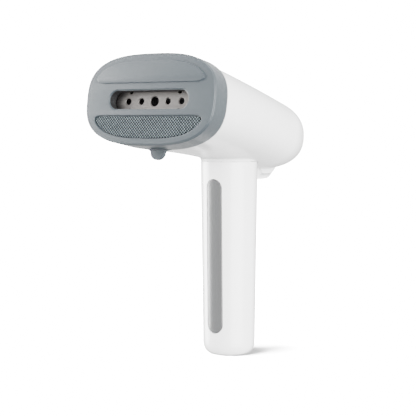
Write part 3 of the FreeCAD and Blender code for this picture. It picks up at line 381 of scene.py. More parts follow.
def plain_look(name):
    """A look from the table; the white mouldings get painted shade, their colour darkening a little
    towards their outlines.
    """
    colour, metallic, (low, high), grain_scale, grain_depth = PLAIN_LOOKS[name]
    look = Look(name)
    tint = look.tint(srgb(*colour))
    if name in PAINTED_RIM_LOOKS:
        # painted shade at the outlines: the facing weight darkens the base colour
        facing = look.add("ShaderNodeLayerWeight", Blend=0.5)
        rim = look.ramp(facing, "Facing", [(RIM_START, (1, 1, 1)),
                                            (RIM_END, (RIM_SHADE,) * 3)])
        shade = look.add("ShaderNodeVectorMath", operation="MULTIPLY")
        look.link(tint, "Color", shade, 0)
        look.link(rim, "Color", shade, 1)
        look.link(shade, "Vector", look.shader, "Base Color")
    look.sheen_of(low, high)
    look.grain(grain_scale, GRAIN_STRENGTH, grain_depth * MM)
    look.set(Metallic=metallic)
    return look.material


def steel_look():
    """Brushed stainless steel, grained along the slot."""
    look = Look("stainless")
    look.tint(srgb(102, 100, 98), 0.10, 90.0)
    look.sheen_of(0.30, 0.46, 300.0, (0.15, 6, 6))
    look.grain(500, 0.35, 0.01 * MM, (0.1, 6, 6))
    look.set(Metallic=1.0)
    return look.material


def weave_look():
    """Plain weave coloured by yarn height, partly painted shade: dark gaps, light tops on the warp
    yarns and dimmer ones on the weft.
    """
    look = Look("pad_weave")
    split = look.add("ShaderNodeSeparateXYZ")
    look.link(look.coordinates, "Object", split, "Vector")

    def math_node(operation, first, second=None):
        node = look.add("ShaderNodeMath", operation=operation)
        for place, value in enumerate((first, second)):
            if isinstance(value, (int, float)):
                node.inputs[place].default_value = value
            elif value is not None:
                look.tree.links.new(value, node.inputs[place])
        return node.outputs["Value"]

    def rounded(value):
        return math_node("POWER", math_node("ABSOLUTE", math_node("SINE", math_node(
            "MULTIPLY", value, math.pi))), YARN_ROUNDNESS)

    warp = math_node("DIVIDE", split.outputs["X"], YARN_PITCH)
    level = math_node("SUBTRACT", split.outputs["Z"], FACE_Z - PAD_FRONT * TILT_SIN)
    weft = math_node("DIVIDE", level, YARN_PITCH * TILT_COS)
    turn = math_node("ADD", math_node("FLOOR", warp), math_node("FLOOR", weft))
    over = math_node("COSINE", math_node("MULTIPLY", turn, math.pi))
    over = math_node("ADD", math_node("MULTIPLY", over, 0.5), 0.5)
    warp_top = math_node("MULTIPLY", rounded(warp), over)
    weft_top = math_node("MULTIPLY", rounded(weft), math_node(
        "SUBTRACT", WEFT_SHADE, math_node("MULTIPLY", over, WEFT_SHADE)))
    height = math_node("MAXIMUM", warp_top, weft_top)
    fuzz = look.noise(1500, 4.0)
    height = math_node("ADD", height, math_node("MULTIPLY", math_node(
        "SUBTRACT", fuzz.outputs["Fac"], 0.5), FUZZ))
    # painted shade: the yarn height picks the colour, darkest in the gaps
    ramp = look.ramp(height.node, "Value",
                     [(place, srgb(*colour)) for place, colour in YARN_COLOURS])
    look.link(ramp, "Color", look.shader, "Base Color")
    look.set(Roughness=0.85, Specular_IOR_Level=0.2)
    look.grain(2200, 0.6, 0.05 * MM)
    return look.material


def window_look():
    """Smoky satin plastic."""
    look = Look("tank_clear")
    look.tint(srgb(62, 63, 64), 0.02, 40.0)
    look.sheen_of(0.28, 0.32, 200.0)
    look.grain(1600, 0.10, 0.001 * MM)
    look.set(Specular_IOR_Level=0.9)
    return look.material


def light_look():
    """Frosted ring that lets the switch light through."""
    look = Look("ring_light")
    look.tint(srgb(214, 220, 224), 0.05, 80.0)
    look.sheen_of(0.35, 0.48)
    look.grain(1500, 0.4, 0.006 * MM)
    look.set(Subsurface_Weight=0.3, Subsurface_Scale=0.002)
    return look.material


SPECIAL_LOOKS = {"stainless": steel_look, "pad_weave": weave_look, "tank_clear": window_look,
                 "ring_light": light_look}


def make_looks():
    looks = {name: plain_look(name) for name in PLAIN_LOOKS}
    looks.update({name: build() for name, build in SPECIAL_LOOKS.items()})
    return looks


def dress(target, material):
    target.data.materials.clear()
    target.data.materials.append(material)


looks = make_looks()


# ---------------------------------------------------------------- head shell
SHELL_FRONT = 17.3 * MM
SHELL_REAR = 121.0 * MM
TAIL_LENGTH = 41.5 * MM
SHELL_WALL = 2.2 * MM
SHELL_HALF_WIDTHS = (48.3 * MM, 43.2 * MM, 38.8 * MM)
SHELL_TOPS = (28.8 * MM, 25.4 * MM, 20.7 * MM)
SHELL_DEPTHS = (30.2 * MM, 27.7 * MM, 28.2 * MM)
UPPER_POWER = 2.6
LOWER_POWER = 2.2
NECK_SEAM = 134.0 * MM
NECK_TOP = 154.0 * MM
NECK_RADIUS = 19.7 * MM
NECK_BORE = 17.3 * MM
POCKET_RADIUS = 20.1 * MM
POCKET_WALL = 22.6 * MM
NECK_BLEND = 7.6 * MM
SMALLEST_BLEND = 0.4 * MM
BLEND_RISE = 7.0 * MM


def shell_measure(values, along):
    """A front, middle and rear value along the head; behind the rear it goes on straight."""
    front, middle, rear = values
    share = np.minimum((along - SHELL_FRONT) / (SHELL_REAR - SHELL_FRONT), 1.0)
    curve = (front * (1 - share) * (1 - 2 * share) + middle * 4 * share * (1 - share)
             + rear * share * (2 * share - 1))
    slope = (front - 4 * middle + 3 * rear) / (SHELL_REAR - SHELL_FRONT)
    return curve + slope * np.maximum(along - SHELL_REAR, 0.0)


def shell_section(along, inset=0.0):
    half_width, top, depth = (shell_measure(values, along) - inset for values in
                              (SHELL_HALF_WIDTHS, SHELL_TOPS, SHELL_DEPTHS))
    return half_width, top, depth


def hull_level(points, inset=0.0):
    """Below 1 inside the head's hull and above 1 outside; points in the head's axes."""
    x, along, up = points[..., 0], points[..., 1], points[..., 2]
    half_width, top, depth = shell_section(along, inset)
    centre = (top - depth) / 2
    half_height = (top + depth) / 2
    power = np.where(up >= centre, UPPER_POWER, LOWER_POWER)
    across = np.abs(x / half_width) ** power + np.abs((up - centre) / half_height) ** power
    across = across ** (1 / power)
    tail = np.maximum(along - SHELL_REAR, 0.0) / (TAIL_LENGTH - inset)
    return np.sqrt(across ** 2 + tail ** 2)


def slope_of(function, points, step=1e-5):
    columns = []
    for axis in range(3):
        shift = np.zeros(3)
        shift[axis] = step
        columns.append((function(points + shift) - function(points - shift)) / (2 * step))
    return np.stack(columns, -1)


def hull_distance(points):
    level = hull_level(points) - 1
    steepness = np.linalg.norm(slope_of(hull_level, points), axis=-1)
    return level / np.maximum(steepness, 1e-6)


def shell_distance(points):
    """Distance to the hull joined to the neck, points in the head's axes.

    The blend between the two grows from the seam upwards, so the neck meets the handle flush.
    """
    hull = hull_distance(points)
    model = from_head(points)
    x, y, z = model[..., 0], model[..., 1], model[..., 2]
    neck = np.maximum(np.hypot(x, y) - NECK_RADIUS, np.maximum(NECK_SEAM - z, z - NECK_TOP))
    rise = np.clip((z - NECK_SEAM) / BLEND_RISE, 0, 1)
    blend = SMALLEST_BLEND + NECK_BLEND * rise * rise * (3 - 2 * rise)
    overlap = np.maximum(blend - np.abs(hull - neck), 0) / blend
    return np.minimum(hull, neck) - overlap * overlap * blend / 4


def hull_skin(inset, front, segments=180):
    """The hull as rings from a flat front to the tail's tip."""
    skin = Skin()
    tail = TAIL_LENGTH - inset
    angles = np.linspace(0, math.pi / 2, 26)[1:-1]
    stations = list(np.linspace(front, SHELL_REAR, 50)) + list(SHELL_REAR + tail * np.sin(angles))
    rings = []
    for along in stations:
        half_width, top, depth = shell_section(along, inset)
        shrink = math.sqrt(max(1 - (max(along - SHELL_REAR, 0) / tail) ** 2, 0))
        centre = (top - depth) / 2
        reach = (top + depth) / 2 * shrink
        outline = superellipse(half_width * shrink, centre + reach, reach - centre,
                               UPPER_POWER, LOWER_POWER, segments)
        rings.append(at_depth(outline, along))
    first, last = skin.bands(rings)
    skin.fill(first)
    half_width, top, depth = shell_section(SHELL_REAR + tail, inset)
    skin.fan(last, (0, SHELL_REAR + tail, (top - depth) / 2))
    return skin


REMESH_SIZE = 1.1 * MM
SETTLE_PASSES = 6
SETTLE_STEP = 0.8 * MM
FLATTEST_SLOPE = 0.25
SHARP_ANGLE = 35.0
GLAND_HOLE_RADIUS = 5.4 * MM
SLOT_HALF_WIDTH = 7.8 * MM
SLOT_FRONT = 24.6 * MM
SLOT_BACK = 58.4 * MM
SLOT_TOP = 137.0 * MM


def tail_height():
    half_width, top, depth = shell_section(SHELL_REAR + TAIL_LENGTH * 0.99)
    return (top - depth) / 2


def build_shell():
    """Hull and neck as one moulding, hollowed, with its pocket, slot and holes."""
    shell = hull_skin(0.0, SHELL_FRONT - 4 * MM).make("head_shell")
    neck = drum(NECK_RADIUS, NECK_SEAM, NECK_SEAM + 20 * MM)
    carve(shell, [neck], "UNION")
    remesh = shell.modifiers.new("remesh", "REMESH")
    remesh.mode = "VOXEL"
    remesh.voxel_size = REMESH_SIZE
    applied(shell)
    points = np.empty(len(shell.data.vertices) * 3)
    shell.data.vertices.foreach_get("co", points)
    points = to_head(points.reshape(-1, 3))
    free = points[:, 1] > SHELL_FRONT - 3.5 * MM
    for _ in range(SETTLE_PASSES):
        moving = points[free]
        distance = shell_distance(moving)
        slope = slope_of(shell_distance, moving)
        steepness = np.maximum((slope ** 2).sum(-1), FLATTEST_SLOPE)
        step = np.clip(distance / steepness, -SETTLE_STEP, SETTLE_STEP)
        points[free] = moving - slope * step[:, None]
    shell.data.vertices.foreach_set("co", from_head(points).ravel())
    shell.data.update()
    hollow = hull_skin(SHELL_WALL, SHELL_FRONT - 6 * MM).make("hollow")
    carve(hollow, [drum(POCKET_WALL, 100 * MM, 150 * MM)])
    front_cut = brick((-80 * MM, 0, -60 * MM), (80 * MM, SHELL_FRONT, 60 * MM), head=True)
    tools = [hollow, front_cut,
             drum(POCKET_RADIUS, 110 * MM, NECK_SEAM),
             drum(NECK_BORE, 100 * MM, 151 * MM),
             brick((-SLOT_HALF_WIDTH, SLOT_FRONT, 115 * MM),
                   (SLOT_HALF_WIDTH, SLOT_BACK, SLOT_TOP)),
             drum(GLAND_HOLE_RADIUS, 150 * MM, 175 * MM, "y", (0, tail_height()), 64, head=True),
             button_tool()]
    carve(shell, tools, sharp=SHARP_ANGLE)
    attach(shell, "head")
    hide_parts("body_shell")
    return shell


BUTTON_ALONG = 100.0 * MM
BUTTON_UP = 22.3 * MM
BUTTON_SLOPE = math.radians(4.6)
RING_RADIUS = 9.2 * MM


def button_tool():
    """The round hole in the top of the shell for the power button's light ring."""
    tool = drum(RING_RADIUS, -8 * MM, 4 * MM, segments=96)
    centre = from_head([0, BUTTON_ALONG, BUTTON_UP])
    place = (Matrix.Translation(centre.tolist())
             @ Matrix.Rotation(-HEAD_TILT - BUTTON_SLOPE, 4, "X"))
    tool.data.transform(place)
    return tool


# ---------------------------------------------------------------- mouthpiece cover
COVER_LENGTH = 17.0 * MM
COVER_WALL = 2.0 * MM
FACE_THICKNESS = 2.6 * MM
EDGE_ROUND = 0.9 * MM
FACE_INSET = 0.25 * MM
GROOVE_LIP = 0.15 * MM
GROOVE_WIDTH = 0.25 * MM
GROOVE_INSET = FACE_INSET + 0.3 * MM
GROOVE_SHOULDER = 0.1 * MM
GROOVE_RUN = 0.8 * MM
COVER_RIM = 0.3 * MM
FACE_BORDER = 0.85
CREASE = (50.6 * MM, 29.3 * MM, 2.85)
COVER_REAR = (48.7 * MM, 30.0 * MM, 2.65)
SLOT_LENGTH = 30.9 * MM
SLOT_HEIGHT = 6.0 * MM
SLOT_MIDDLE = (0.0, -0.35 * MM)
SLOT_DEPTH = 6.5 * MM
SLOT_WALL = 1.6 * MM
SLOT_LIP = 0.7 * MM
# depth behind the slot's lip where the dark walls begin: partly a dark inner part, partly painted
# shade in the tunnel
TUNNEL_SHADE_DEPTH = 0.8 * MM
PANEL_HEIGHT = 0.9 * MM
PANEL_COVE = 0.2 * MM
EDGE_SOFT = 0.35 * MM
SLOT_MARGIN = 0.1 * MM
PAD_RECESS = 1.4 * MM
SEGMENT_POWER = 2.95
COVER_POINTS = 240


def cover_outline(depth, inset):
    share = depth / COVER_LENGTH
    half_width, half_height, power = (front * (1 - share) + rear * share
                                      for front, rear in zip(CREASE, COVER_REAR))
    outline = superellipse(half_width, half_height, half_height, power, power, COVER_POINTS)
    return at_depth(offset(outline, -inset), depth)


def segment_outline(half_width, half_height, cut, corner, count=COVER_POINTS):
    """Area between a straight line and the arc above it, with its two corners rounded."""
    middle = np.array([0.0, (cut + half_height) / 2])

    def outside(points):
        level = (np.abs(points[:, 0] / half_width) ** SEGMENT_POWER
                 + np.abs(points[:, 1] / half_height) ** SEGMENT_POWER) ** (1 / SEGMENT_POWER)
        arc = (level - 1) * half_height
        line = cut - points[:, 1]
        overlap = np.maximum(corner - np.abs(arc - line), 0) / corner
        return np.maximum(arc, line) + overlap * overlap * corner / 4

    angle = np.linspace(0, 2 * math.pi, 4000, endpoint=False)
    direction = np.stack([np.cos(angle), np.sin(angle)], -1)
    near = np.zeros(len(angle))
    far = np.full(len(angle), 1.2 * half_width)
    for _ in range(40):
        halfway = (near + far) / 2
        inside = outside(middle + direction * halfway[:, None]) < 0
        near = np.where(inside, halfway, near)
        far = np.where(inside, far, halfway)
    return evenly(middle + direction * near[:, None], count)


def upside_down(outline):
    return -outline


PANEL = dict(half_width=45.2 * MM, half_height=24.4 * MM, cut=10.4 * MM, corner=4.6 * MM)
PAD = dict(half_width=44.6 * MM, half_height=25.1 * MM, cut=10.4 * MM, corner=4.0 * MM)
TAB_HALF_WIDTH = 5.6 * MM
TAB_TIP_HEIGHT = 4.4 * MM
TAB_COVE_WIDTH = 4.2 * MM
TAB_COVE_HEIGHT = 2.2 * MM
TAB_ROOT = -28.9 * MM
TAB_TIP = -36.7 * MM
TAB_THICKNESS = 2.4 * MM
TAB_COVE_TOP = -30.0 * MM


def build_cover():
    """Grey cap over the front: flat face with a lipped slot, raised panel and pad recess.

    The groove's floor is dark as painted shade in the crease; the slot's walls behind the lip are
    dark, partly as a dark inner part and partly as painted shade in the tunnel.
    """
    skin = Skin()
    outer = [cover_outline(EDGE_ROUND * (1 - math.cos(angle)),
                           EDGE_ROUND * (1 - math.sin(angle)) + FACE_INSET)
             for angle in np.linspace(0, math.pi / 2, 9)]
    groove = EDGE_ROUND + GROOVE_LIP
    wall_start = groove + GROOVE_RUN
    outer += [cover_outline(groove, GROOVE_INSET),
              cover_outline(groove + GROOVE_WIDTH, GROOVE_INSET),
              cover_outline(groove + 2 * GROOVE_WIDTH, GROOVE_SHOULDER),
              cover_outline(wall_start, 0)]
    outer += [cover_outline(depth, 0) for depth in np.linspace(wall_start, COVER_LENGTH, 12)[1:-1]]
    outer += [cover_outline(COVER_LENGTH - COVER_RIM, 0), cover_outline(COVER_LENGTH, COVER_RIM),
              cover_outline(COVER_LENGTH, COVER_WALL), cover_outline(FACE_THICKNESS, COVER_WALL)]
    rim, inner_rim = skin.bands(outer)
    slot = stadium(SLOT_LENGTH, SLOT_HEIGHT, SLOT_MIDDLE)
    lip = quarter((SLOT_LIP, 0), (0, SLOT_LIP), False, 6)
    tunnel = lip + [(0, TUNNEL_SHADE_DEPTH), (0, SLOT_DEPTH), (SLOT_WALL, SLOT_DEPTH),
                    (SLOT_WALL, FACE_THICKNESS)]
    slot_rim, slot_back = skin.bands(swept(slot, tunnel))
    panel = segment_outline(**PANEL)
    cove = quarter((PANEL_COVE, 0), (0, -PANEL_COVE), False, 3)
    crown = quarter((0, EDGE_SOFT - PANEL_HEIGHT), (-EDGE_SOFT, -PANEL_HEIGHT), False, 5)
    panel_rim, panel_top = skin.bands(swept(panel, cove + crown))
    skin.fill(panel_top)
    recess = upside_down(segment_outline(**PAD))
    shoulder = quarter((EDGE_SOFT, 0), (0, EDGE_SOFT), False, 4)
    recess_rim, recess_floor = skin.bands(swept(recess, shoulder + [(0, PAD_RECESS)]))
    skin.fill(recess_floor)
    skin.fill(rim, [slot_rim, panel_rim, recess_rim])
    skin.fill(inner_rim, [slot_back])
    add_tab(skin)
    cover = skin.make("cover_cap", sharp=50.0)
    dress(cover, looks["grey_cover"])
    # second material, black: painted shade on the groove's floor; on the slot's walls behind the
    # lip it is a dark inner part that also stands for the tunnel's shade
    cover.data.materials.append(looks["black_plastic"])
    for polygon in cover.data.polygons:
        x, along, up = to_head(polygon.center)
        in_slot = (abs(x) < SLOT_LENGTH + SLOT_MARGIN
                   and abs(up - SLOT_MIDDLE[1]) < SLOT_HEIGHT + SLOT_MARGIN)
        spread = abs(x / CREASE[0]) ** CREASE[2] + abs(up / CREASE[1]) ** CREASE[2]
        in_shaded_groove = spread > FACE_BORDER and groove < along < groove + GROOVE_WIDTH
        if in_shaded_groove or (in_slot and along > TUNNEL_SHADE_DEPTH):
            polygon.material_index = 1
    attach(cover, "mouthpiece")
    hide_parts("mouthpiece_cover")
    return cover


def add_tab(skin):
    """Finger tab under the rear edge: a flat tongue with a round end and coved roots."""
    right = [(TAB_HALF_WIDTH + TAB_COVE_WIDTH * (1 - math.sin(angle)),
              TAB_COVE_TOP - TAB_COVE_HEIGHT * (1 - math.cos(angle)))
             for angle in np.linspace(0, math.pi / 2, 12)]
    tip = [(TAB_HALF_WIDTH * math.cos(angle),
            TAB_TIP + TAB_TIP_HEIGHT * (1 - math.sin(angle)))
           for angle in np.linspace(0, math.pi, 60)]
    half = [(TAB_HALF_WIDTH + TAB_COVE_WIDTH, TAB_ROOT)] + right
    outline = np.array(half + tip + [(-x, up) for x, up in reversed(half)])
    outline = evenly(outline[::-1], 200)
    front = COVER_LENGTH - TAB_THICKNESS
    edge = 0.5 * MM
    profile = quarter((-edge, front), (0, front + edge), True, 5)
    profile += quarter((0, COVER_LENGTH - edge), (-edge, COVER_LENGTH), False, 5)
    first, last = skin.bands(swept(outline, profile))
    skin.fill(first)
    skin.fill(last)


# ---------------------------------------------------------------- fabric pad
PAD_GAP = 0.35 * MM
PAD_BACK = 1.4 * MM
PAD_GRID = 0.16 * MM
PAD_ROLL = 0.9 * MM
PAD_DROP = 0.75
WEFT_HEIGHT = 0.8
CHUNK = 4000


def weave_height(x, up):
    """Height of a plain weave of round yarns, from 0 in the gaps to 1."""
    warp = x / YARN_PITCH
    weft = up / YARN_PITCH
    warp_round = np.abs(np.sin(math.pi * warp)) ** YARN_ROUNDNESS
    weft_round = np.abs(np.sin(math.pi * weft)) ** YARN_ROUNDNESS
    over = 0.5 + 0.5 * np.cos(math.pi * (np.floor(warp) + np.floor(weft)))
    return np.maximum(warp_round * over, weft_round * WEFT_HEIGHT * (1 - over))


def build_pad():
    """Woven pad as a fine grid cut to the recess, its edge rolled down and its yarns raised."""
    outline = upside_down(segment_outline(half_width=PAD["half_width"] - PAD_GAP,
                                          half_height=PAD["half_height"] - PAD_GAP,
                                          cut=PAD["cut"] + PAD_GAP, corner=PAD["corner"],
                                          count=900))
    low, high = outline.min(0), outline.max(0)
    columns = int((high[0] - low[0]) / PAD_GRID)
    rows = int((high[1] - low[1]) / PAD_GRID)
    heights = np.linspace(0, 1, rows + 1)
    skin = Skin()
    started = np.roll(outline, -int(outline[:, 0].argmin()), axis=0)
    turn = int(started[:, 0].argmax())
    one_side = started[:turn + 1]
    other_side = np.vstack([started[turn:], started[:1]])[::-1]
    bend = np.linspace(-1, 1, columns + 1)
    xs = (low[0] + high[0]) / 2 + (high[0] - low[0]) / 2 * (1.02 * bend - 0.02 * bend ** 51)
    lines = [np.interp(xs, side[:, 0], side[:, 1]) for side in (one_side, other_side)]
    bottom_line, top_line = np.minimum(*lines), np.maximum(*lines)
    x = np.repeat(xs[:, None], rows + 1, axis=1)
    up = bottom_line[:, None] + (top_line - bottom_line)[:, None] * heights[None, :]
    closed = np.vstack([outline, outline[:1]])
    starts, ends = closed[:-1], closed[1:]
    points = np.stack([x.ravel(), up.ravel()], -1)
    edge_distance = np.empty(len(points))
    step = ends - starts
    length = (step ** 2).sum(-1)
    for begin in range(0, len(points), CHUNK):
        chunk = points[begin:begin + CHUNK, None, :] - starts[None]
        share = np.clip((chunk * step).sum(-1) / length, 0, 1)
        edge_distance[begin:begin + CHUNK] = np.sqrt(
            ((chunk - share[..., None] * step) ** 2).sum(-1).min(1))
    rolled = np.clip(1 - edge_distance / PAD_ROLL, 0, 1)
    drop = PAD_ROLL * PAD_DROP * (1 - np.sqrt(np.maximum(1 - rolled ** 2, 0)))
    yarn = weave_height(points[:, 0], points[:, 1]) * YARN_HEIGHT
    depth = PAD_FRONT + drop - yarn + YARN_HEIGHT * 0.5
    count = rows + 1
    front = skin.ring(np.stack([points[:, 0], depth, points[:, 1]], -1))
    front_rows = [front[index * count:(index + 1) * count] for index in range(columns + 1)]
    for row_a, row_b in zip(front_rows, front_rows[1:]):
        skin.strip(row_a, row_b)
    border_front = ([row[0] for row in front_rows] + front_rows[-1][1:]
                    + [row[-1] for row in reversed(front_rows[:-1])] + front_rows[0][-2:0:-1])
    border_back = skin.ring([(skin.points[index][0], PAD_BACK, skin.points[index][2])
                             for index in border_front])
    skin.band(border_front, border_back)
    skin.fill(border_back)
    pad = skin.make("woven_pad", sharp=80.0)
    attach(pad, "mouthpiece")
    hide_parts("fabric_pad")
    return pad


# ---------------------------------------------------------------- steam plate
PLATE_FRONT = 7.1 * MM
PLATE_THICKNESS = 0.7 * MM
PLATE_HALF_LENGTH = 37.0 * MM
PLATE_HALF_HEIGHT = 11.0 * MM
PLATE_BACK = 17.5 * MM
HOLE_PITCH = 10.5 * MM
HOLE_RADIUS = 2.05 * MM
CENTRE_HOLE_RADIUS = 3.2 * MM
SMALL_HOLE_RADIUS = 1.3 * MM
SMALL_HOLE_X = 19.2 * MM
SMALL_HOLE_RISE = 6.2 * MM


def build_plate():
    """Pressed steel cup behind the slot, its steam holes with rolled edges."""
    skin = Skin()
    bend = 0.8 * MM
    outline = stadium(PLATE_HALF_LENGTH, PLATE_HALF_HEIGHT, SLOT_MIDDLE, 200)
    skirt = quarter((-bend, PLATE_FRONT), (0, PLATE_FRONT + bend), True, 5)
    skirt += [(0, PLATE_BACK), (-PLATE_THICKNESS, PLATE_BACK),
              (-PLATE_THICKNESS, PLATE_FRONT + PLATE_THICKNESS)]
    rim, back_rim = skin.bands(swept(outline, skirt))
    places = [(step * HOLE_PITCH, 0.0, CENTRE_HOLE_RADIUS if step == 0 else HOLE_RADIUS)
              for step in (-2, -1, 0, 1, 2)]
    places += [(side * SMALL_HOLE_X, up * SMALL_HOLE_RISE, SMALL_HOLE_RADIUS)
               for side in (-1, 1) for up in (-1, 1)]
    roll = 0.35 * MM
    profile = quarter((roll, PLATE_FRONT), (0, PLATE_FRONT + roll), False, 5)
    profile += [(0, PLATE_FRONT + PLATE_THICKNESS)]
    fronts, backs = [], []
    for x, up, radius in places:
        hole = circle(radius, (x, SLOT_MIDDLE[1] + up))
        front, back = skin.bands(swept(hole, profile))
        fronts.append(front)
        backs.append(back)
    skin.fill(rim, fronts)
    skin.fill(back_rim, backs)
    plate = skin.make("outlet_plate", sharp=50.0)
    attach(plate, "head")
    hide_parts("steam_plate")
    return plate


# ---------------------------------------------------------------- handle
GRIP_BASE_RADIUS = 18.0 * MM
GRIP_TOP_RADIUS = 19.7 * MM
GRIP_LOW = 0.5 * MM
GRIP_HIGH = 133.92 * MM
GRIP_ROUND = 4.6 * MM
GRIP_RISE = 7.6 * MM
GRIP_RIM = 0.12 * MM
SLEEVE_WALL = 1.6 * MM
FOOT_OPENING = 13.0 * MM
WINDOW_HALF_WIDTH = 6.3 * MM
WINDOW_LOW = 15.8 * MM
WINDOW_HIGH = 122.4 * MM
WINDOW_GAP = 0.32 * MM
WINDOW_SINK = 0.12 * MM
PANE_ROLL = 0.5 * MM
LINER_LOW = 3.2 * MM
LINER_HIGH = 128.0 * MM
LINER_WALL = 1.4 * MM
AROUND = 192


def grip_radius(height):
    return GRIP_BASE_RADIUS + (GRIP_TOP_RADIUS - GRIP_BASE_RADIUS) * height / GRIP_HIGH


def round_rings(profile, segments=AROUND):
    """Circles about the Z axis from (radius, height) pairs."""
    angle = np.linspace(0, 2 * math.pi, segments, endpoint=False)
    return [np.stack([radius * np.cos(angle), radius * np.sin(angle),
                      np.full(segments, height)], -1) for radius, height in profile]


def window_middle():
    return (0.0, (WINDOW_LOW + WINDOW_HIGH) / 2)


def window_outline(gap, count=260):
    half_length = (WINDOW_HIGH - WINDOW_LOW) / 2 - gap
    return stadium(half_length, WINDOW_HALF_WIDTH - gap, (0, 0), count, True) + window_middle()


def build_sleeve():
    """White outer tube with a round foot edge and the long window through its front."""
    low_radius = grip_radius(GRIP_LOW)
    profile = [(FOOT_OPENING, GRIP_LOW + 0.3 * MM), (FOOT_OPENING + 0.3 * MM, GRIP_LOW)]
    profile += quarter((low_radius - GRIP_ROUND, GRIP_LOW), (low_radius, GRIP_LOW + GRIP_RISE),
                       True, 16)
    profile += [(grip_radius(z), z) for z in np.linspace(GRIP_LOW + GRIP_RISE, GRIP_HIGH, 60)[1:-1]]
    profile += [(grip_radius(GRIP_HIGH), GRIP_HIGH - GRIP_RIM),
                (grip_radius(GRIP_HIGH) - GRIP_RIM, GRIP_HIGH),
                (grip_radius(GRIP_HIGH) - SLEEVE_WALL, GRIP_HIGH),
                (low_radius - SLEEVE_WALL, GRIP_LOW + GRIP_RISE),
                (FOOT_OPENING, GRIP_LOW + SLEEVE_WALL)]
    skin = Skin()
    first, last = skin.bands(round_rings(profile))
    skin.band(last, first)
    sleeve = skin.make("grip_sleeve", head=False)
    tool = Skin()
    outline = window_outline(0.0)
    rings = [np.stack([outline[:, 0], np.full(len(outline), y), outline[:, 1]], -1)
             for y in (-30 * MM, -8 * MM)]
    first, last = tool.bands(rings)
    tool.fill(first)
    tool.fill(last)
    carve(sleeve, [tool.make("tool", head=False)], sharp=SHARP_ANGLE)
    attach(sleeve, "tank")
    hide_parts("handle_sleeve")
    return sleeve


def add_pane(skin):
    """The window pane: a curved stadium with rolled edges, its border carried down to the wall."""
    half_width = WINDOW_HALF_WIDTH - WINDOW_GAP
    low = WINDOW_LOW + WINDOW_GAP
    high = WINDOW_HIGH - WINDOW_GAP
    angle = np.linspace(0.02, math.pi / 2, 16)
    bottom = low + half_width * (1 - np.cos(angle))
    top = high - half_width * (1 - np.cos(angle[::-1]))
    heights = np.concatenate([bottom, np.linspace(bottom[-1], top[0], 60)[1:-1], top])
    centres = np.clip(heights, low + half_width, high - half_width)
    half = np.sqrt(np.maximum(half_width ** 2 - (heights - centres) ** 2, 1e-10))
    across = np.sin(np.linspace(-math.pi / 2, math.pi / 2, 33))
    x = half[:, None] * across[None, :]
    z = np.repeat(heights[:, None], len(across), axis=1)
    edge = half_width - np.hypot(x, z - centres[:, None])
    rolled = np.clip(1 - edge / PANE_ROLL, 0, 1)
    sink = PANE_ROLL * (1 - np.sqrt(np.maximum(1 - rolled ** 2, 0)))

    def on_grip(sink):
        radius = grip_radius(z) - WINDOW_SINK - sink
        turn = x / radius
        return np.stack([radius * np.sin(turn), -radius * np.cos(turn), z], -1)

    rows = [skin.ring(row) for row in on_grip(sink)]
    for row_a, row_b in zip(rows, rows[1:]):
        skin.strip(row_a, row_b)
    rear = [skin.ring(row) for row in on_grip(SLEEVE_WALL + 0.6 * MM)]
    borders = [block[0] + [row[-1] for row in block[1:-1]] + block[-1][::-1]
               + [row[0] for row in block[-2:0:-1]] for block in (rows, rear)]
    skin.band(*borders)


def build_liner():
    """Smoky tank with the raised window pane that fills the sleeve's slot."""
    gap = SLEEVE_WALL + 0.1 * MM
    low_radius = grip_radius(LINER_LOW) - gap
    high_radius = grip_radius(LINER_HIGH) - gap
    floor = LINER_LOW + LINER_WALL
    profile = quarter((low_radius - 3 * MM, LINER_LOW), (low_radius, LINER_LOW + 3 * MM), True, 8)
    profile += [(grip_radius(z) - gap, z) for z in np.linspace(LINER_LOW + 4 * MM, LINER_HIGH, 40)]
    profile += [(high_radius - LINER_WALL, LINER_HIGH),
                (low_radius - LINER_WALL, floor + 2.4 * MM),
                (low_radius - LINER_WALL - 2.4 * MM, floor)]
    skin = Skin()
    first, last = skin.bands(round_rings(profile))
    skin.fan(first, (0, 0, LINER_LOW))
    skin.fan(last, (0, 0, floor))
    add_pane(skin)
    liner = skin.make("tank_vessel", head=False, sharp=40.0)
    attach(liner, "tank")
    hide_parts("tank_liner")
    return liner


# ---------------------------------------------------------------- trigger
HINGE_Y = 55.5 * MM
HINGE_Z = 136.5 * MM
TRIGGER_REACH = 31.0 * MM
TRIGGER_LOW = 120.3 * MM
TRIGGER_HALF_WIDTH = 7.4 * MM
TRIGGER_ROUND = 4.2 * MM
# from the bottom's rear end up to the heel: behind the hinge, above the bottom
TRIGGER_SOLE = ((-12.4 * MM, 0.1 * MM), (-7.8 * MM, 1.2 * MM), (-4.0 * MM, 3.8 * MM),
                (-0.8 * MM, 6.9 * MM), (1.8 * MM, 9.6 * MM))
SPRING_Y = 33.0 * MM
SPRING_SEAT_RADIUS = 4.0 * MM
SPRING_SEAT_RISE = 2.5 * MM


def smooth_loop(knots, count=160):
    """Closed curve through the knots."""
    knots = np.asarray(knots, float)
    total = len(knots)
    drawn = []
    for index in range(total):
        p0, p1, p2, p3 = (knots[(index + step) % total] for step in (-1, 0, 1, 2))
        for t in np.linspace(0, 1, 24, endpoint=False):
            drawn.append(0.5 * (2 * p1 + (p2 - p0) * t + (2 * p0 - 5 * p1 + 4 * p2 - p3) * t * t
                                + (3 * p1 - p0 - 3 * p2 + p3) * t ** 3))
    return evenly(np.array(drawn), count)


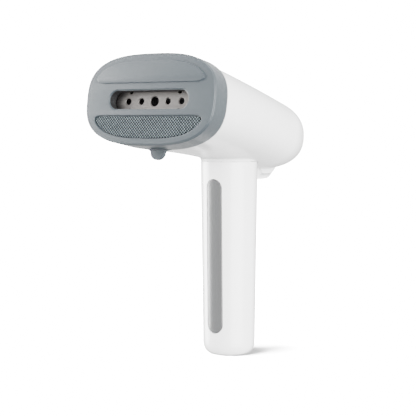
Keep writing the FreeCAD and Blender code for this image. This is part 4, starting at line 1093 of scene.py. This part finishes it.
def build_trigger():
    """Thumb paddle: its side outline swept across, with round shoulders."""
    web_top = HINGE_Z - 2.5 * MM

    def on_arc(z):
        return (HINGE_Y - math.sqrt(TRIGGER_REACH ** 2 - (HINGE_Z - z) ** 2), z)

    front_low = on_arc(TRIGGER_LOW + 4.5 * MM)
    knots = [on_arc(web_top), on_arc(web_top - 2.5 * MM), on_arc(TRIGGER_LOW + 7 * MM), front_low,
             (front_low[0] + 2.4 * MM, TRIGGER_LOW + 1.5 * MM),
             (front_low[0] + 6.5 * MM, TRIGGER_LOW),
             *((HINGE_Y + aside, TRIGGER_LOW + rise) for aside, rise in TRIGGER_SOLE),
             (HINGE_Y + TRIGGER_SOLE[-1][0], web_top)]
    top = [(HINGE_Y - share * (HINGE_Y - on_arc(web_top)[0]), web_top)
           for share in (0.2, 0.4, 0.6, 0.8)]
    outline = smooth_loop(knots + top)
    if np.cross(outline[1] - outline[0], outline[2] - outline[1]) < 0:
        outline = outline[::-1]
    skin = Skin()
    half = TRIGGER_HALF_WIDTH
    edge = [(inset, half - x) for inset, x in
            quarter((TRIGGER_ROUND, 0), (0, TRIGGER_ROUND), False, 9)]
    profile = [(inset, -x) for inset, x in edge] + [(inset, x) for inset, x in reversed(edge)]
    low_share = np.clip((web_top - outline[:, 1]) / (web_top - TRIGGER_LOW) * 1.6, 0.08, 1.0)
    normal = (offset(outline, 1.0) - outline)
    rings = []
    for inset, x in profile:
        moved = outline - normal * (inset * low_share)[:, None]
        rings.append(np.stack([np.full(len(moved), x), moved[:, 0], moved[:, 1]], -1))
    first, last = skin.bands(rings)
    skin.fill(first)
    skin.fill(last)
    paddle = skin.make("thumb_paddle", head=False, sharp=60.0)
    carve(paddle, [drum(SPRING_SEAT_RADIUS, TRIGGER_LOW + SPRING_SEAT_RISE, web_top + 2 * MM,
                        "z", (0, SPRING_Y))], sharp=60.0)
    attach(paddle, "trigger")
    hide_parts("trigger")
    return paddle


# ---------------------------------------------------------------- studio
def lamp(name, place, aim, width, height, power):
    """A rectangular softbox at a place, facing its aim."""
    data = bpy.data.lights.new(name, "AREA")
    data.shape = "RECTANGLE"
    data.size = width
    data.size_y = height
    data.energy = power
    made = bpy.data.objects.new(name, data)
    made.location = place
    made.rotation_euler = (Vector(aim) - Vector(place)).to_track_quat("-Z", "Y").to_euler()
    bpy.context.scene.collection.objects.link(made)
    return made


CAMERA_PLACE = (442.8 * MM, -666.3 * MM, 161.1 * MM)
CAMERA_YAW = math.radians(34.66)
CAMERA_PITCH = math.radians(4.27)
CAMERA_LENS = 99.8
SENSOR_WIDTH = 36.0
WORLD_LOW = 2.0
WORLD_HIGH = 3.2
WORLD_BAND = 0.6
KEY_POWER = 95.0
FILL_POWER = 95.0
TOP_POWER = 15.0
FLOOR_POWER = 8000.0
FLOOR_SHADE = 0.12
FLOOR_GLOW = 20.0
# distance in metres from the foot, share of the floor's glow
GLOW_STOPS = ((0.022, 0.03), (0.045, 0.30), (0.080, 1.0))
FLOOR_HALF_WIDTH = 6.0
FLOOR_FRONT = -3.0
FLOOR_BACK = 2.2
FLOOR_BEND = 1.2
WALL_HEIGHT = 6.0


def build_floor():
    """A pale floor that bends up into a wall behind the steamer, seen along the camera's axis.

    It doesn't light the underside, it has its own lamp, and it glows away from the foot, so only
    the shadow beside the foot is left.
    """
    angle = np.linspace(0, math.pi / 2, 24)
    line = [(FLOOR_FRONT, 0.0)]
    line += [(FLOOR_BACK + FLOOR_BEND * math.sin(turn), FLOOR_BEND * (1 - math.cos(turn)))
             for turn in angle]
    line += [(FLOOR_BACK + FLOOR_BEND, WALL_HEIGHT)]
    skin = Skin()
    rows = [skin.ring([(x, away, up) for x in (-FLOOR_HALF_WIDTH, FLOOR_HALF_WIDTH)])
            for away, up in line]
    for row_a, row_b in zip(rows, rows[1:]):
        skin.strip(row_a, row_b)
    floor = skin.make("floor", head=False)
    floor.data.transform(Matrix.Rotation(CAMERA_YAW, 4, "Z"))
    floor.visible_diffuse = False
    floor.visible_glossy = False
    look = Look("floor_white")
    look.tint((FLOOR_SHADE,) * 3, 0.01, 3.0)
    look.set(Roughness=1.0, Specular_IOR_Level=0.0)
    away = look.add("ShaderNodeVectorMath", operation="LENGTH")
    look.link(look.coordinates, "Object", away, "Vector")
    glow = look.ramp(away, "Value", [(place, (share,) * 3) for place, share in GLOW_STOPS])
    look.link(glow, "Color", look.shader, "Emission Color")
    look.set(Emission_Strength=FLOOR_GLOW)
    dress(floor, look.material)
    return floor


def build_studio(floor):
    """Light that brightens upwards, three softboxes round the steamer and the floor's lamp."""
    world = bpy.data.worlds.new("studio")
    bpy.context.scene.world = world
    world.use_nodes = True
    tree = world.node_tree
    background = tree.nodes["Background"]
    coordinates = tree.nodes.new("ShaderNodeTexCoord")
    split = tree.nodes.new("ShaderNodeSeparateXYZ")
    ramp = tree.nodes.new("ShaderNodeMapRange")
    tree.links.new(coordinates.outputs["Generated"], split.inputs["Vector"])
    tree.links.new(split.outputs["Z"], ramp.inputs["Value"])
    for socket, value in (("From Min", -WORLD_BAND), ("From Max", WORLD_BAND),
                          ("To Min", WORLD_LOW), ("To Max", WORLD_HIGH)):
        ramp.inputs[socket].default_value = value
    tree.links.new(ramp.outputs["Result"], background.inputs["Strength"])
    background.inputs["Color"].default_value = (1, 1, 1, 1)
    lamp("key", (-1.15, -0.25, 0.3), (0, -0.03, 0.12), 0.8, 1.2, KEY_POWER)
    lamp("fill", (1.25, -0.5, 0.2), (0, 0.0, 0.1), 1.4, 1.2, FILL_POWER)
    lamp("top", (0.15, 0.25, 1.3), (0, 0, 0.1), 1.0, 1.0, TOP_POWER)
    floor_lamp = lamp("floor_lamp", (-0.55, -0.88, 0.75), (0, 0, 0), 1.2, 1.0, FLOOR_POWER)
    lit = bpy.data.collections.new("floor_lit")
    lit.objects.link(floor)
    floor_lamp.light_linking.receiver_collection = lit


def build_camera():
    data = bpy.data.cameras.new("camera")
    data.lens = CAMERA_LENS
    data.sensor_width = SENSOR_WIDTH
    made = bpy.data.objects.new("camera", data)
    made.location = CAMERA_PLACE
    made.rotation_euler = (math.pi / 2 - CAMERA_PITCH, 0, CAMERA_YAW)
    bpy.context.scene.collection.objects.link(made)
    bpy.context.scene.camera = made


# ---------------------------------------------------------------- the scene
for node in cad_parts.values():
    look_name = node.data.materials[0].name.split(".")[0]
    dress(node, looks.get(look_name, looks["black_plastic"]))
build_cover()
for piece, look_name in ((build_shell(), "white_shell"), (build_pad(), "pad_weave"),
                         (build_plate(), "stainless"), (build_sleeve(), "white_grip"),
                         (build_liner(), "tank_clear"), (build_trigger(), "white_lever")):
    dress(piece, looks[look_name])
build_studio(build_floor())
build_camera()
